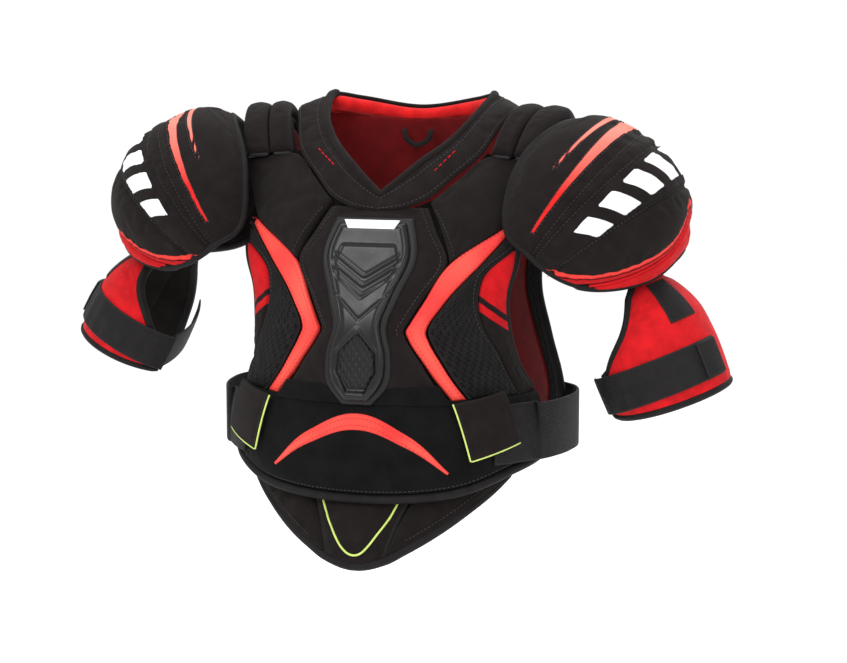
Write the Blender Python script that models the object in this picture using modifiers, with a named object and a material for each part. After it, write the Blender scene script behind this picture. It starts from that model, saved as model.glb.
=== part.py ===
"""Ice hockey shoulder pads: a padded vest of chest, back and collar, with two shoulder caps,
two upper-arm guards, two waist straps and a hinged belly pad, each a separate solid.

Frame: metres, +Z up, the wearer faces -Y and the wearer's left is +X. The origin is the middle
of the shoulder line, where the vest rests on the wearer. Lengths in the tables are millimetres.
"""

import math

import bmesh
import bpy
import numpy as np
from mathutils import Matrix, Vector

MM = 0.001
SIDES = (("left", 1), ("right", -1))

# Driving dimensions, in millimetres.
FOAM = 12.0  # thickness of the chest and back foam
SKIN_GAP = 1.0  # between one layer and the next
LINER = 3.0
PLATE = 4.5
HEM_RADIUS = 4.0
WEBBING = 2.5
STRAP_WIDTH = 56.0
ARM_STRAP_WIDTH = 38.0
ROUNDNESS = 2.3  # exponent of the torso's cross-section: 2 is an ellipse

# The torso at each height: (height, half-width, depth in front of or behind the shoulder line).
FRONT_LEVELS = (
    (0, 185, 20), (-40, 185, 52), (-62, 183, 66), (-98, 168, 86), (-130, 149, 103), (-161, 142, 115),
    (-200, 141, 121), (-238, 154, 125), (-295, 160, 128), (-330, 161, 129),
)
BACK_LEVELS = (
    (30, 175, 96), (0, 172, 104), (-60, 163, 117), (-98, 157, 124), (-140, 152, 129), (-180, 159, 131),
    (-236, 172, 129), (-300, 165, 124), (-330, 162, 121),
)
BELLY_LEVELS = ((-280, 148, 112), (-316, 148, 114), (-335, 148, 121), (-360, 148, 132), (-390, 148, 140))

# The shoulder arch: an ellipse in the plane across the shoulder.
ARCH_MIDDLE = 30.0
ARCH_RISE = 54.0
ARCH_THICK = 8.0
BRIDGE_THICK = 14.0

# The shoulder cap lies on an ellipsoid.
CAP_MIDDLE = (190.0, 10.0, -60.0)
CAP_RADII = (106.0, 92.0, 97.0)
CAP_POLE = (0.55, 0.0, 0.835)
CAP_THICK = 12.0
CAP_HINGE = (152.0, -20.0, 44.0)
CAP_DROP = {"left": 2.5, "right": -2.5}  # each cap's rest angle about its hinge, outer side down
CAP_HINGE_AXIS = (0.23, 0.973, 0.0)

# The upper-arm guard hangs from a pivot under the cap. Each hangs at its own rest angle.
ARM_PIVOT = {"left": (211.0, 14.0, -76.0), "right": (206.0, 14.0, -58.0)}
ARM_TILT = {"left": 23.0, "right": 29.0}  # outwards from straight down
ARM_TWIST = {"left": -13.0, "right": 13.0}  # about the arm, front edge outwards
ARM_TOP, ARM_BOTTOM = -40.0, -176.0
ARM_NECK = {"left": 15.0, "right": 0.0}  # how far up each guard stays wide
# (height, radius) of the guard, then (height, turn) along its front edge.
ARM_LEVELS = ((-30, 16), (-52, 25), (-70, 35), (-88, 47), (-108, 56), (-136, 60), (-178, 60))
ARM_FRONT_EDGE = ((-38, 32), (-69, 18), (-95, 2), (-118, -24), (-147, -52), (-176, -62))
ARM_BACK_TURN = 168.0  # the back edge's turn at height 0, and how it grows downwards in degrees to the mm
ARM_BACK_SLOPE = 0.12
ARM_THICK = 8.0
ARM_STRAP_LOW = -164.0
ARM_ELASTIC_TURNS = (199.0, 288.0)  # the open inner side the elastic closes
ARM_ELASTIC_ROUND = 0.35  # 0 is a straight chord across the opening, 1 follows the guard's round
BELLY_HINGE = (0.0, -117.0, -327.0)


def clear_scene():
    for obj in list(bpy.data.objects):
        bpy.data.objects.remove(obj)


def new_collection(name):
    made = bpy.data.collections.new(name)
    bpy.context.scene.collection.children.link(made)
    return made


def material(name, colour, roughness, metallic=0.0):
    made = bpy.data.materials.new(name)
    made.use_nodes = True
    shader = made.node_tree.nodes["Principled BSDF"]
    shader.inputs["Base Color"].default_value = (*colour, 1)
    shader.inputs["Roughness"].default_value = roughness
    shader.inputs["Metallic"].default_value = metallic
    return made


def spline(points):
    """A smooth curve through the points, as a function of 0 to 1 at an even share of the chord."""
    through = np.array(points, float)
    step = np.linalg.norm(np.diff(through, axis=0), axis=1)
    at = np.concatenate([[0.0], np.cumsum(step)]) / step.sum()
    slope = np.gradient(through, at, axis=0)

    def curve(t):
        i = int(np.clip(np.searchsorted(at, t) - 1, 0, len(at) - 2))
        width = at[i + 1] - at[i]
        s = (t - at[i]) / width
        return (
            (2 * s**3 - 3 * s**2 + 1) * through[i]
            + (s**3 - 2 * s**2 + s) * width * slope[i]
            + (3 * s**2 - 2 * s**3) * through[i + 1]
            + (s**3 - s**2) * width * slope[i + 1]
        )

    return curve


def level_table(rows):
    """A function of height that gives the other columns of a table, smoothly."""
    rows = np.array(sorted(rows), float)
    slope = np.gradient(rows[:, 1:], rows[:, 0], axis=0)

    def at(height):
        i = int(np.clip(np.searchsorted(rows[:, 0], height) - 1, 0, len(rows) - 2))
        width = rows[i + 1, 0] - rows[i, 0]
        s = np.clip((height - rows[i, 0]) / width, 0, 1)
        return (
            (2 * s**3 - 3 * s**2 + 1) * rows[i, 1:]
            + (s**3 - 2 * s**2 + s) * width * slope[i]
            + (3 * s**2 - 2 * s**3) * rows[i + 1, 1:]
            + (s**3 - s**2) * width * slope[i + 1]
        )

    return at


def power(value, exponent):
    return math.copysign(abs(value) ** exponent, value)


def shell(levels, facing):
    """A torso surface: (angle in degrees from its middle, height, offset) to a point, in mm."""
    at = level_table(levels)

    def bare(angle, height):
        width, depth = at(height)
        turn = math.radians(angle)
        x = width * power(math.sin(turn), 2 / ROUNDNESS)
        return np.array([x, facing * depth * power(math.cos(turn), 2 / ROUNDNESS), height])

    def point(angle, height, offset=0.0):
        # The two exponents make the surface flat at 0 and 90 degrees, so the step is a wide one.
        across = bare(angle + 2, height) - bare(angle - 2, height)
        up = bare(angle, height + 2) - bare(angle, height - 2)
        normal = np.cross(across, up) * -facing
        return bare(angle, height) + offset * normal / np.linalg.norm(normal)

    def angle_of(x, height):
        share = min(abs(x) / at(height)[0], 1.0)
        return math.copysign(math.degrees(math.asin(share ** (ROUNDNESS / 2))), x)

    point.angle_of = angle_of
    return point


FRONT = shell(FRONT_LEVELS, -1)
BACK = shell(BACK_LEVELS, 1)
BELLY = shell(BELLY_LEVELS, -1)


def outline(surface, *points):
    """A guide curve on a torso surface, through (x, height) points."""
    return spline([(surface.angle_of(x, z), z) for x, z in points])


def coons(bottom, top, left, right):
    """A patch between four guide curves that meet at its corners, as a function of two shares."""

    def patch(u, v):
        edges = (1 - v) * bottom(u) + v * top(u) + (1 - u) * left(v) + u * right(v)
        corners = (1 - u) * (1 - v) * bottom(0) + u * (1 - v) * bottom(1)
        return edges - corners - (1 - u) * v * top(0) - u * v * top(1)

    return patch


def straight(start, end):
    return lambda t: np.array(start, float) * (1 - t) + np.array(end, float) * t


def between(inner, outer):
    """A patch ruled from one guide curve to another: v runs along them and u across."""
    return lambda u, v: inner(v) * (1 - u) + outer(v) * u


def sheet(name, place, columns, rows, thickness, look, side=1, closed=False):
    """A grid laid on place(u, v), which is in mm, and thickened evenly to both sides."""
    bm = bmesh.new()
    bmesh.ops.create_grid(bm, x_segments=columns, y_segments=rows, size=1)
    for vert in bm.verts:
        x, y, z = place((vert.co.x + 1) / 2, (vert.co.y + 1) / 2)
        vert.co = Vector((x * side, y, z)) * MM
    if closed:
        bmesh.ops.remove_doubles(bm, verts=bm.verts, dist=0.01 * MM)
    obj = finish(name, bm, look)
    thicken = obj.modifiers.new("Thickness", "SOLIDIFY")
    thicken.thickness = thickness * MM
    thicken.offset = 0
    return obj


def finish(name, bm, look):
    mesh = bpy.data.meshes.new(name)
    bm.to_mesh(mesh)
    bm.free()
    mesh.materials.append(look)
    mesh.shade_smooth()
    obj = bpy.data.objects.new(name, mesh)
    VEST.objects.link(obj)
    return obj


def panel(name, surface, patch, columns, rows, low, high, look, side=1):
    """Foam or cloth on a torso surface, between two offsets from it."""

    def place(u, v):
        angle, height = patch(u, v)
        return surface(angle, height, (low + high) / 2)

    return sheet(name, place, columns, rows, high - low, look, side)


def tube(name, points, radius, look, side=1, sides_resolution=1):
    """A round cord or binding through points in mm."""
    curve = bpy.data.curves.new(name, "CURVE")
    curve.dimensions = "3D"
    curve.bevel_depth = radius * MM
    curve.bevel_resolution = sides_resolution
    curve.use_fill_caps = True
    path = curve.splines.new("POLY")
    path.points.add(len(points) - 1)
    for spot, (x, y, z) in zip(path.points, points, strict=True):
        spot.co = (x * side * MM, y * MM, z * MM, 1)
    curve.materials.append(look)
    obj = bpy.data.objects.new(name, curve)
    VEST.objects.link(obj)
    return obj


def extruded(name, points, low, high, look):
    """A flat outline in the Y-Z plane, in mm, extruded along X from low to high."""
    curve = bpy.data.curves.new(name, "CURVE")
    curve.dimensions = "2D"
    curve.fill_mode = "BOTH"
    curve.extrude = (high - low) / 2 * MM
    path = curve.splines.new("POLY")
    path.points.add(len(points) - 1)
    for spot, (y, z) in zip(path.points, points, strict=True):
        spot.co = (y * MM, z * MM, 0, 1)
    path.use_cyclic_u = True
    curve.materials.append(look)
    obj = bpy.data.objects.new(name, curve)
    obj.matrix_world = Matrix(
        ((0, 0, 1, (low + high) / 2 * MM), (1, 0, 0, 0), (0, 1, 0, 0), (0, 0, 0, 1))
    )
    VEST.objects.link(obj)
    return obj


def hinge(name, place, parent=None, turn=None):
    """An empty on a joint's axis, which carries what moves with it."""
    empty = bpy.data.objects.new(name, None)
    empty.empty_display_size = 0.03
    VEST.objects.link(empty)
    empty.parent = parent
    empty.matrix_world = Matrix.Translation(Vector(place) * MM) @ (turn or Matrix())
    bpy.context.view_layer.update()
    return empty


def hang_on(empty, *objects):
    """Parents each object to the joint's empty, with its mesh kept in place and its origin on the axis."""
    for obj in objects:
        obj.data.transform(empty.matrix_world.inverted() @ obj.matrix_world)
        obj.parent = empty
        obj.matrix_basis = Matrix()


def mirrored(guide):
    def other(t):
        angle, height = guide(t)
        return np.array([-angle, height])

    return other


def shifted(guide, sideways, up=0.0):
    return lambda t: guide(t) + np.array([sideways, up])


def make_chest(looks):
    """Front foam: a middle panel, two upper pads, and on each side an inlay, a vented pad and a wing."""
    chevron_in = outline(FRONT, (128, -62), (77, -98), (52, -134), (43, -161), (56, -192), (88, -226))
    chevron_out = outline(FRONT, (134, -68), (97, -111), (71, -140), (66, -160), (77, -192), (103, -226))
    vent_out = outline(FRONT, (138, -84), (112, -108), (107, -128), (112, -158), (126, -190), (142, -226))
    armhole = spline([(50, -84), (58, -121), (66, -160), (75, -194), (84, -226)])

    core_edge = outline(
        FRONT, (50, -57), (60, -72), (75, -97), (58, -122), (46, -146), (41, -162), (47, -180), (85, -226)
    )
    core = between(mirrored(core_edge), core_edge)
    panel("chest_core", FRONT, core, 8, 16, -FOAM, 0, looks["knit"])

    for label, side in SIDES:
        upper = coons(
            outline(FRONT, (79, -97), (129, -60)),
            outline(FRONT, (51, -45), (75, -24), (98, -6), (150, -12)),
            outline(FRONT, (79, -97), (51, -45)),
            outline(FRONT, (129, -60), (150, -12)),
        )
        panel(f"chest_upper_pad_{label}", FRONT, upper, 6, 6, -FOAM, 0, looks["knit"], side)
        inlay = between(shifted(chevron_in, 1.1, -1.2), shifted(chevron_out, -0.9, -1.2))
        panel(f"chest_inlay_{label}", FRONT, inlay, 2, 14, -FOAM + 3, -2, looks["coral"], side)
        vented = between(shifted(chevron_out, 0.6), shifted(vent_out, -0.6))
        panel(f"chest_vent_pad_{label}", FRONT, vented, 4, 10, -FOAM, 0, looks["mesh_cloth"], side)
        wing = between(shifted(vent_out, 0.6), armhole)
        panel(f"chest_wing_{label}", FRONT, wing, 3, 10, -FOAM, 0, looks["red"], side)

    low = coons(
        spline([(-86, -284), (-62, -292), (-30, -312), (0, -318), (30, -312), (62, -292), (86, -284)]),
        straight((-86, -229), (86, -229)),
        straight((-86, -284), (-86, -229)),
        straight((86, -284), (86, -229)),
    )
    panel("belly_panel", FRONT, low, 20, 4, -FOAM, 0, looks["loop"])
    arch = between(
        outline(FRONT, (-84, -296), (-45, -268), (0, -253), (45, -268), (84, -296)),
        outline(FRONT, (-87, -293), (-45, -258), (0, -241), (45, -258), (87, -293)),
    )
    panel("belly_inlay", FRONT, arch, 2, 14, SKIN_GAP, SKIN_GAP + 1.2, looks["coral"])
    hem = [(-86, -289), (-62, -297), (-30, -317), (0, -323), (30, -317), (62, -297), (86, -289)]
    hem_line = spline(hem)
    hem_points = [FRONT(*hem_line(i / 20), -FOAM / 2) for i in range(21)]
    tube("chest_hem_binding", hem_points, HEM_RADIUS, looks["binding"])
    liner = coons(
        straight((-80, -272), (80, -272)),
        straight((-44, -72), (44, -72)),
        spline([(-80, -272), (-72, -190), (-52, -110), (-44, -72)]),
        spline([(80, -272), (72, -190), (52, -110), (44, -72)]),
    )
    under = -FOAM - SKIN_GAP - 0.5
    panel("chest_liner", FRONT, liner, 14, 8, under - LINER, under, looks["lining"])


def make_sternum(looks):
    """The moulded breastbone plate on its foam backing, with a ribbed insert and a blank badge."""
    edge = outline(FRONT, (34, -66), (41, -96), (30, -132), (25, -158), (28, -186), (24, -212), (11, -229))
    rim = outline(FRONT, (39, -62), (47, -96), (36, -134), (31, -158), (34, -188), (29, -215), (14, -224))
    backing = between(mirrored(rim), rim)
    lift = SKIN_GAP
    panel("sternum_backing", FRONT, backing, 6, 12, lift, lift + 3, looks["knit"])
    under = lift + 4
    face = between(mirrored(edge), edge)
    plate = panel("sternum_plate", FRONT, face, 6, 14, under, under + PLATE, looks["shell"])

    hexagon = ((0, -163), (18, -182), (19, -200), (9, -219), (-9, -219), (-19, -200), (-18, -182))
    bm = bmesh.new()
    verts = [bm.verts.new((x * MM, -0.2, z * MM)) for x, z in hexagon]
    made = bmesh.ops.extrude_face_region(bm, geom=[bm.faces.new(verts)])
    moved = [item for item in made["geom"] if isinstance(item, bmesh.types.BMVert)]
    bmesh.ops.translate(bm, verts=moved, vec=(0, 0.3, 0))
    bmesh.ops.recalc_face_normals(bm, faces=bm.faces)
    cutter = finish("hexagon_cutter", bm, looks["shell"])
    VEST.objects.unlink(cutter)
    CUTTERS.objects.link(cutter)
    cutter.hide_render = True
    cutter.display_type = "WIRE"
    cut = plate.modifiers.new("Window", "BOOLEAN")
    cut.operation = "DIFFERENCE"
    cut.object = cutter

    window = between(
        outline(FRONT, (-2, -168), (-15, -184), (-16, -200), (-7.5, -216)),
        outline(FRONT, (2, -168), (15, -184), (16, -200), (7.5, -216)),
    )
    panel("sternum_insert", FRONT, window, 4, 6, under, under + PLATE - 2, looks["rubber"])
    badge = between(outline(FRONT, (-22, -74), (-28, -66)), outline(FRONT, (22, -74), (28, -66)))
    top = under + PLATE + 0.4
    panel("sternum_badge", FRONT, badge, 4, 1, top, top + 1.2, looks["silver"])


def make_back(looks):
    """Back foam in three panels, a segmented spine plate, liner and hem."""
    core_edge = outline(BACK, (50, 12), (58, -60), (46, -150), (52, -230), (60, -296))
    side_in = outline(BACK, (52.5, 12), (60.5, -60), (48.5, -150), (54.5, -230), (62.5, -295))
    side_top = outline(BACK, (52.5, 12), (78, 13), (98, 8), (120, -15), (163, -24))
    side_foot = straight(side_in(1), (68, -290))
    side_out = spline([side_top(1), (56, -64), (58, -120), (66, -180), (70, -236), (68, -290)])
    side_pad = coons(side_foot, side_top, lambda t: side_in(1 - t), lambda t: side_out(1 - t))
    panel("back_core", BACK, between(mirrored(core_edge), core_edge), 6, 12, -FOAM, 0, looks["knit"])
    for label, side in SIDES:
        panel(f"back_side_pad_{label}", BACK, side_pad, 10, 12, -FOAM, 0, looks["mesh_cloth"], side)
    spine = outline(BACK, (30, -30), (36, -70), (26, -110), (31, -150), (22, -190), (26, -225), (12, -262))
    plate_top = SKIN_GAP + PLATE
    panel("spine_plate", BACK, between(mirrored(spine), spine), 6, 16, SKIN_GAP, plate_top, looks["shell"])
    hem = spline([(-68, -295), (-22, -300), (0, -301), (22, -300), (68, -295)])
    points = [BACK(*hem(i / 16), -FOAM / 2) for i in range(17)]
    tube("back_hem_binding", points, HEM_RADIUS, looks["binding"])
    under = -FOAM - SKIN_GAP
    liner = coons(
        straight((-62, -284), (62, -284)),
        spline([(-36, 28), (-20, 24), (0, 22), (20, 24), (36, 28)]),
        spline([(-62, -284), (-64, -230), (-54, -130), (-46, -50), (-36, 28)]),
        spline([(62, -284), (64, -230), (54, -130), (46, -50), (36, 28)]),
    )
    panel("back_liner", BACK, liner, 12, 10, under - LINER, under, looks["lining"])


def arch_point(x, turn, offset):
    """A point over the shoulder: turn is 0 at the front, 90 at the top and 180 at the back."""
    lean = 0.36 * (min(turn, 95) / 95) * 66  # the seams run outwards as they climb
    deep = 40 + (x - 95) * 0.18 + offset
    middle_height = -20 - (x - 95) * 0.07
    angle = math.radians(turn)
    y = ARCH_MIDDLE - deep * math.cos(angle)
    return np.array([x + lean, y, middle_height + (ARCH_RISE + offset) * math.sin(angle)])


def make_shoulders(looks):
    """Over each shoulder: a load-bearing arch, a flat-bottomed rest under it and two bridge pads on it."""
    for label, side in SIDES:
        def strip(x_in, x_out, start, end, offset):
            return lambda u, v: arch_point(x_in + (x_out - x_in) * u, start + (end - start) * v, offset)

        arch = strip(96, 146, 14, 163, -ARCH_THICK / 2)
        sheet(f"shoulder_arch_{label}", arch, 4, 12, ARCH_THICK, looks["knit"], side)
        mid = SKIN_GAP + BRIDGE_THICK / 2
        for place, x_in, x_out in (("inner", 97, 119), ("outer", 120.5, 145)):
            pad = strip(x_in, x_out, 22, 140, mid)
            sheet(f"bridge_pad_{place}_{label}", pad, 3, 12, BRIDGE_THICK, looks["knit"], side)
        rest_top = ARCH_RISE - ARCH_THICK - SKIN_GAP
        arc = [
            (ARCH_MIDDLE + 28 * math.cos(a), -22 + rest_top * math.sqrt(1 - (28 * math.cos(a) / 32) ** 2))
            for a in np.linspace(0, math.pi, 9)
        ]
        low, high = sorted((side * 118, side * 148))
        floor = -2.0
        outline_points = [(arc[0][0], floor), *arc, (arc[-1][0], floor)]
        extruded(f"shoulder_rest_{label}", outline_points, low, high, looks["lining"])


def collar_edges():
    """The collar's inner and outer edges as closed curves round the neck, from the V round by the left."""
    on_chest = [(0, -54), (26, -51), (47, -43), (72, -21), (93, -1)]
    outer = [FRONT(FRONT.angle_of(x, z), z, 0) for x, z in on_chest]
    outer += [np.array(p) for p in ((107, 12, 28), (116, 40, 40), (112, 74, 34), (78, 104, 20), (0, 112, 15))]
    round_neck = (
        (0, -50, -40), (20, -43, -23), (37, -34, -8), (60, -13, 11), (75, 8, 30), (82, 32, 44), (84, 62, 55),
        (62, 84, 51), (0, 93, 42),
    )
    inner = [np.array(p, float) for p in round_neck]
    flip = np.array([-1, 1, 1])
    return [spline([*half, *[p * flip for p in half[-2:0:-1]], half[0]]) for half in (inner, outer)]


def make_collar(looks):
    inner, outer = collar_edges()
    thick = 6.0

    def band(u, v):
        low, high = outer(u), inner(u)
        return low + (high - low) * (0.03 + 0.97 * v) + np.array([0, 0, 0.5])

    sheet("collar_band", band, 40, 2, thick, looks["knit"], closed=True)
    roll = [inner(t) + np.array([0, -9, -11]) for t in np.linspace(0.34, 0.66, 17)]
    tube("collar_roll", roll, 6.0, looks["red"], sides_resolution=2)
    loop = [(-14, 96.5, 17), (-13, 95, 8), (-6, 94, 2), (0, 93.5, 0), (6, 94, 2), (13, 95, 8), (14, 96.5, 17)]
    tube("hang_loop", [(x, y - 19, z + 4) for x, y, z in loop], 1.4, looks["webbing"])


def cap_frame():
    """Unit vectors across the cap: its pole, the way outwards and down, and the way forwards."""
    pole = Vector(CAP_POLE).normalized()
    forward = Vector((0, -1, 0))
    return pole, pole.cross(forward).normalized(), forward


def cap_point(p, q, offset):
    """A point on the cap: p and q are degrees from its pole, outwards and forwards."""
    pole, outwards, forward = cap_frame()
    away = math.hypot(p, q)
    turn = math.radians(away)
    heading = (outwards * p + forward * q) / away if away > 1e-9 else outwards
    way = pole * math.cos(turn) + heading * math.sin(turn)
    radii = Vector(CAP_RADII)
    flat = Vector((way.x / radii.x, way.y / radii.y, way.z / radii.z))
    point = Vector(CAP_MIDDLE) + way / flat.length
    normal = point - Vector(CAP_MIDDLE)
    normal = Vector((normal.x / radii.x**2, normal.y / radii.y**2, normal.z / radii.z**2)).normalized()
    return point + normal * offset


def cap_angles(point):
    """cap_point's p and q for the direction of a point in mm."""
    pole, outwards, forward = cap_frame()
    way = (Vector(point) - Vector(CAP_MIDDLE)).normalized()
    away = math.degrees(math.acos(max(-1.0, min(1.0, way.dot(pole)))))
    p, q = way.dot(outwards), way.dot(forward)
    return away * p / math.hypot(p, q), away * q / math.hypot(p, q)


# The cap's outline, as points near its rim: the front from the bridge pad round outwards, then the back.
CAP_RIM = (
    (170, 10, 45), (157, -24, 12), (136, -54, -26), (125, -72, -64), (150, -84, -97), (210, -64, -124),
    (262, -30, -112), (291, 12, -86), (268, 52, -108), (222, 82, -118), (170, 100, -92), (160, 96, -50),
    (170, 88, -4), (176, 55, 38),
)


def cap_outline():
    """The rim's reach, in degrees from the pole, as a function of the heading in radians."""
    spots = sorted((math.atan2(q, p), math.hypot(p, q)) for p, q in map(cap_angles, CAP_RIM))
    heads = np.array([s[0] for s in spots])
    reach = np.array([s[1] for s in spots])
    heads = np.concatenate([heads - 2 * math.pi, heads, heads + 2 * math.pi])
    reach = np.tile(reach, 3)
    table = level_table(list(zip(heads, reach, strict=True)))
    return lambda heading: float(table(heading)[0])


def disc(u, v):
    """The unit square on the unit disc, with its four corners on the rim."""
    x, y = 2 * u - 1, 2 * v - 1
    return x * math.sqrt(1 - y * y / 2), y * math.sqrt(1 - x * x / 2)


def border_width(heading):
    """The width of the cap's lower border in degrees: widest outside, none at the front and back."""
    return max(0.0, 17 * math.cos(min(abs(heading) * 1.5, math.pi / 2)))


def make_cap(label, side, looks):
    reach = cap_outline()

    def patch(shrink, border):
        def place(u, v, offset):
            x, y = disc(u, v)
            heading, share = math.atan2(y, x), math.hypot(x, y)
            far = reach(heading) - shrink - (border_width(heading) + 1.6 if border else 0) - 0.01
            return cap_point(share * far * math.cos(heading), share * far * math.sin(heading), offset)

        return place

    pad = patch(0, True)
    half = CAP_THICK / 2
    made = [sheet(f"cap_pad_{label}", lambda u, v: pad(u, v, -half), 10, 10, CAP_THICK, looks["knit"], side)]

    def border(u, v):
        heading = (2 * v - 1) * 0.96
        inner = reach(heading) - border_width(heading)
        far = inner + (reach(heading) - inner) * u
        return cap_point(far * math.cos(heading), far * math.sin(heading), -half)

    made.append(sheet(f"cap_border_{label}", border, 2, 16, CAP_THICK, looks["red"], side))
    insert = patch(14, True)
    deep = -CAP_THICK - SKIN_GAP - 4
    lining = sheet(f"cap_insert_{label}", lambda u, v: insert(u, v, deep), 8, 8, 2.5, looks["shell"], side)
    made.append(lining)
    empty = hinge(f"cap_hinge_{label}", (CAP_HINGE[0] * side, *CAP_HINGE[1:]))
    hang_on(empty, *made)
    drop = Matrix.Rotation(math.radians(CAP_DROP[label]), 4, (CAP_HINGE_AXIS[0], CAP_HINGE_AXIS[1] * side, 0))
    empty.matrix_world = empty.matrix_world @ drop
    bpy.context.view_layer.update()
    return empty


def arm_radius(height):
    return float(ARM_RADIUS(height)[0])


ARM_RADIUS = level_table(ARM_LEVELS)


def arm_surface(neck, turn, height, offset):
    """A point on the arm guard in the arm's own frame: turn is degrees from the front towards the outside."""
    angle = math.radians(turn)
    radius = arm_radius(height - neck) + offset
    return np.array([radius * math.sin(angle), -radius * math.cos(angle), height])


def make_arm(label, side, cap, looks):
    """The upper-arm guard: a sleeve open on the inside, its stiffener, closing strap and hanger."""
    tilt = Matrix.Rotation(math.radians(-ARM_TILT[label] * side), 4, "Y")
    twist = Matrix.Rotation(math.radians(ARM_TWIST[label] * side), 4, "Z")
    place = (ARM_PIVOT[label][0] * side, *ARM_PIVOT[label][1:])
    empty = hinge(f"arm_hinge_{label}", place, cap, tilt @ twist)
    neck = ARM_NECK[label]

    def arm_point(turn, height, offset):
        return arm_surface(neck, turn, height, offset)

    def strip(front, back, bottom, top, offset):
        def at(u, v):
            height = bottom(u) + (top(u) - bottom(u)) * v
            return arm_point(front + (back - front) * u, height, offset)

        return at

    def sleeve(u, v):
        low = ARM_BOTTOM + 10 * (2 * u - 1) ** 2
        high = ARM_TOP - 26 * (2 * u - 1) ** 4
        height = low + (high - low) * v
        front = float(front_edge(height)[0])
        back = ARM_BACK_TURN - height * ARM_BACK_SLOPE
        return arm_point(front + (back - front) * u, height, -ARM_THICK / 2)

    front_edge = level_table(ARM_FRONT_EDGE)
    made = [sheet(f"arm_guard_{label}", sleeve, 16, 10, ARM_THICK, looks["red"], side)]
    inside = -ARM_THICK - SKIN_GAP - 2.5
    insert = strip(36, 146, lambda u: -148, lambda u: -76, inside)
    made.append(sheet(f"arm_insert_{label}", insert, 10, 6, 2, looks["shell"], side))

    strap_low, strap_high = ARM_STRAP_LOW, ARM_STRAP_LOW + ARM_STRAP_WIDTH
    over = SKIN_GAP + WEBBING / 2

    def closing(u, v):
        height = strap_low + 22 * (1 - u) + ARM_STRAP_WIDTH * v
        start, end = ARM_ELASTIC_TURNS
        rear, front = (arm_point(turn, height, -ARM_THICK / 2) for turn in ARM_ELASTIC_TURNS)
        around = arm_point(start + (end - start) * u, height, -ARM_THICK / 2)
        return around * ARM_ELASTIC_ROUND + (rear + (front - rear) * u) * (1 - ARM_ELASTIC_ROUND)

    # The elastic closes the open inner side: it rises from the strap's front end to the rear edge.
    made.append(sheet(f"arm_elastic_{label}", closing, 6, 3, WEBBING, looks["webbing"], side))
    hanger = strip(54, 78, lambda u: neck - 114, lambda u: neck - 76, SKIN_GAP + 1.6)
    made.append(sheet(f"arm_hanger_{label}", hanger, 3, 4, 2, looks["webbing"], side))
    for obj in made:
        obj.parent = empty

    pivot = Vector(arm_point(-64, -145, 4))
    pivot.x *= side
    world = empty.matrix_world @ Matrix.Translation(pivot * MM)
    tab_hinge = bpy.data.objects.new(f"arm_strap_hinge_{label}", None)
    VEST.objects.link(tab_hinge)
    tab_hinge.parent = empty
    tab_hinge.matrix_world = world
    bpy.context.view_layer.update()
    tab = strip(-62, 88, lambda u: strap_low, lambda u: strap_high, over)
    strap = sheet(f"arm_strap_{label}", tab, 10, 3, WEBBING, looks["webbing"], side)
    strap.data.transform(Matrix.Translation(-pivot * MM))
    strap.parent = tab_hinge


# The waist strap's route from the back panel round the flank to the chest, seen from above.
STRAP_ROUTE = ((150, 84), (170, 62), (179, 34), (178, 4), (168, -34), (146, -70), (124, -92))


def make_waist_strap(label, side, looks):
    route = spline(STRAP_ROUTE)
    height = -290.0

    def ribbon(u, v):
        x, y = route(u)
        z = height + STRAP_WIDTH * v
        onto = min(max((u - 0.72) / 0.2, 0), 1)
        return np.array([x, y, z]) * (1 - onto) + FRONT(FRONT.angle_of(x, z), z, 4.0) * onto

    strap = sheet(f"waist_strap_{label}", ribbon, 14, 2, WEBBING, looks["webbing"], side)
    tab_patch = coons(
        outline(FRONT, (104, -284), (140, -270)),
        outline(FRONT, (88, -230), (126, -222)),
        outline(FRONT, (104, -284), (88, -230)),
        outline(FRONT, (140, -270), (126, -222)),
    )
    tab = panel(f"strap_tab_{label}", FRONT, tab_patch, 4, 4, 6.5, 10.5, looks["rubber"], side)
    x, y = STRAP_ROUTE[0]
    hang_on(hinge(f"waist_strap_hinge_{label}", (x * side, y, height + STRAP_WIDTH / 2)), strap, tab)


def make_belly_pad(looks):
    """The hinged extension under the chest hem: a middle segment and two side segments."""
    middle = outline(BELLY, (52, -318), (36, -350), (28, -378))
    side_in = outline(BELLY, (54, -317), (38, -350), (30, -376))
    core = coons(
        spline([*[mirrored(middle)(1)], (0, -386), middle(1)]),
        straight(mirrored(middle)(0), middle(0)),
        lambda t: mirrored(middle)(1 - t),
        lambda t: middle(1 - t),
    )
    made = [panel("belly_pad_core", BELLY, core, 6, 6, -FOAM, 0, looks["knit"])]
    for label, side in SIDES:
        flank = outline(BELLY, (138, -302), (92, -341), (47, -369))
        cushion = between(side_in, flank)
        made.append(panel(f"belly_pad_side_{label}", BELLY, cushion, 4, 6, -FOAM, 0, looks["knit"], side))
    hang_on(hinge("belly_pad_hinge", BELLY_HINGE), *made)
    anchor = between(
        outline(BELLY, (-100, -304), (-100, -284)),
        outline(BELLY, (100, -304), (100, -284)),
    )
    panel("belly_pad_anchor", BELLY, anchor, 10, 1, -3, -1, looks["loop"])


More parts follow.
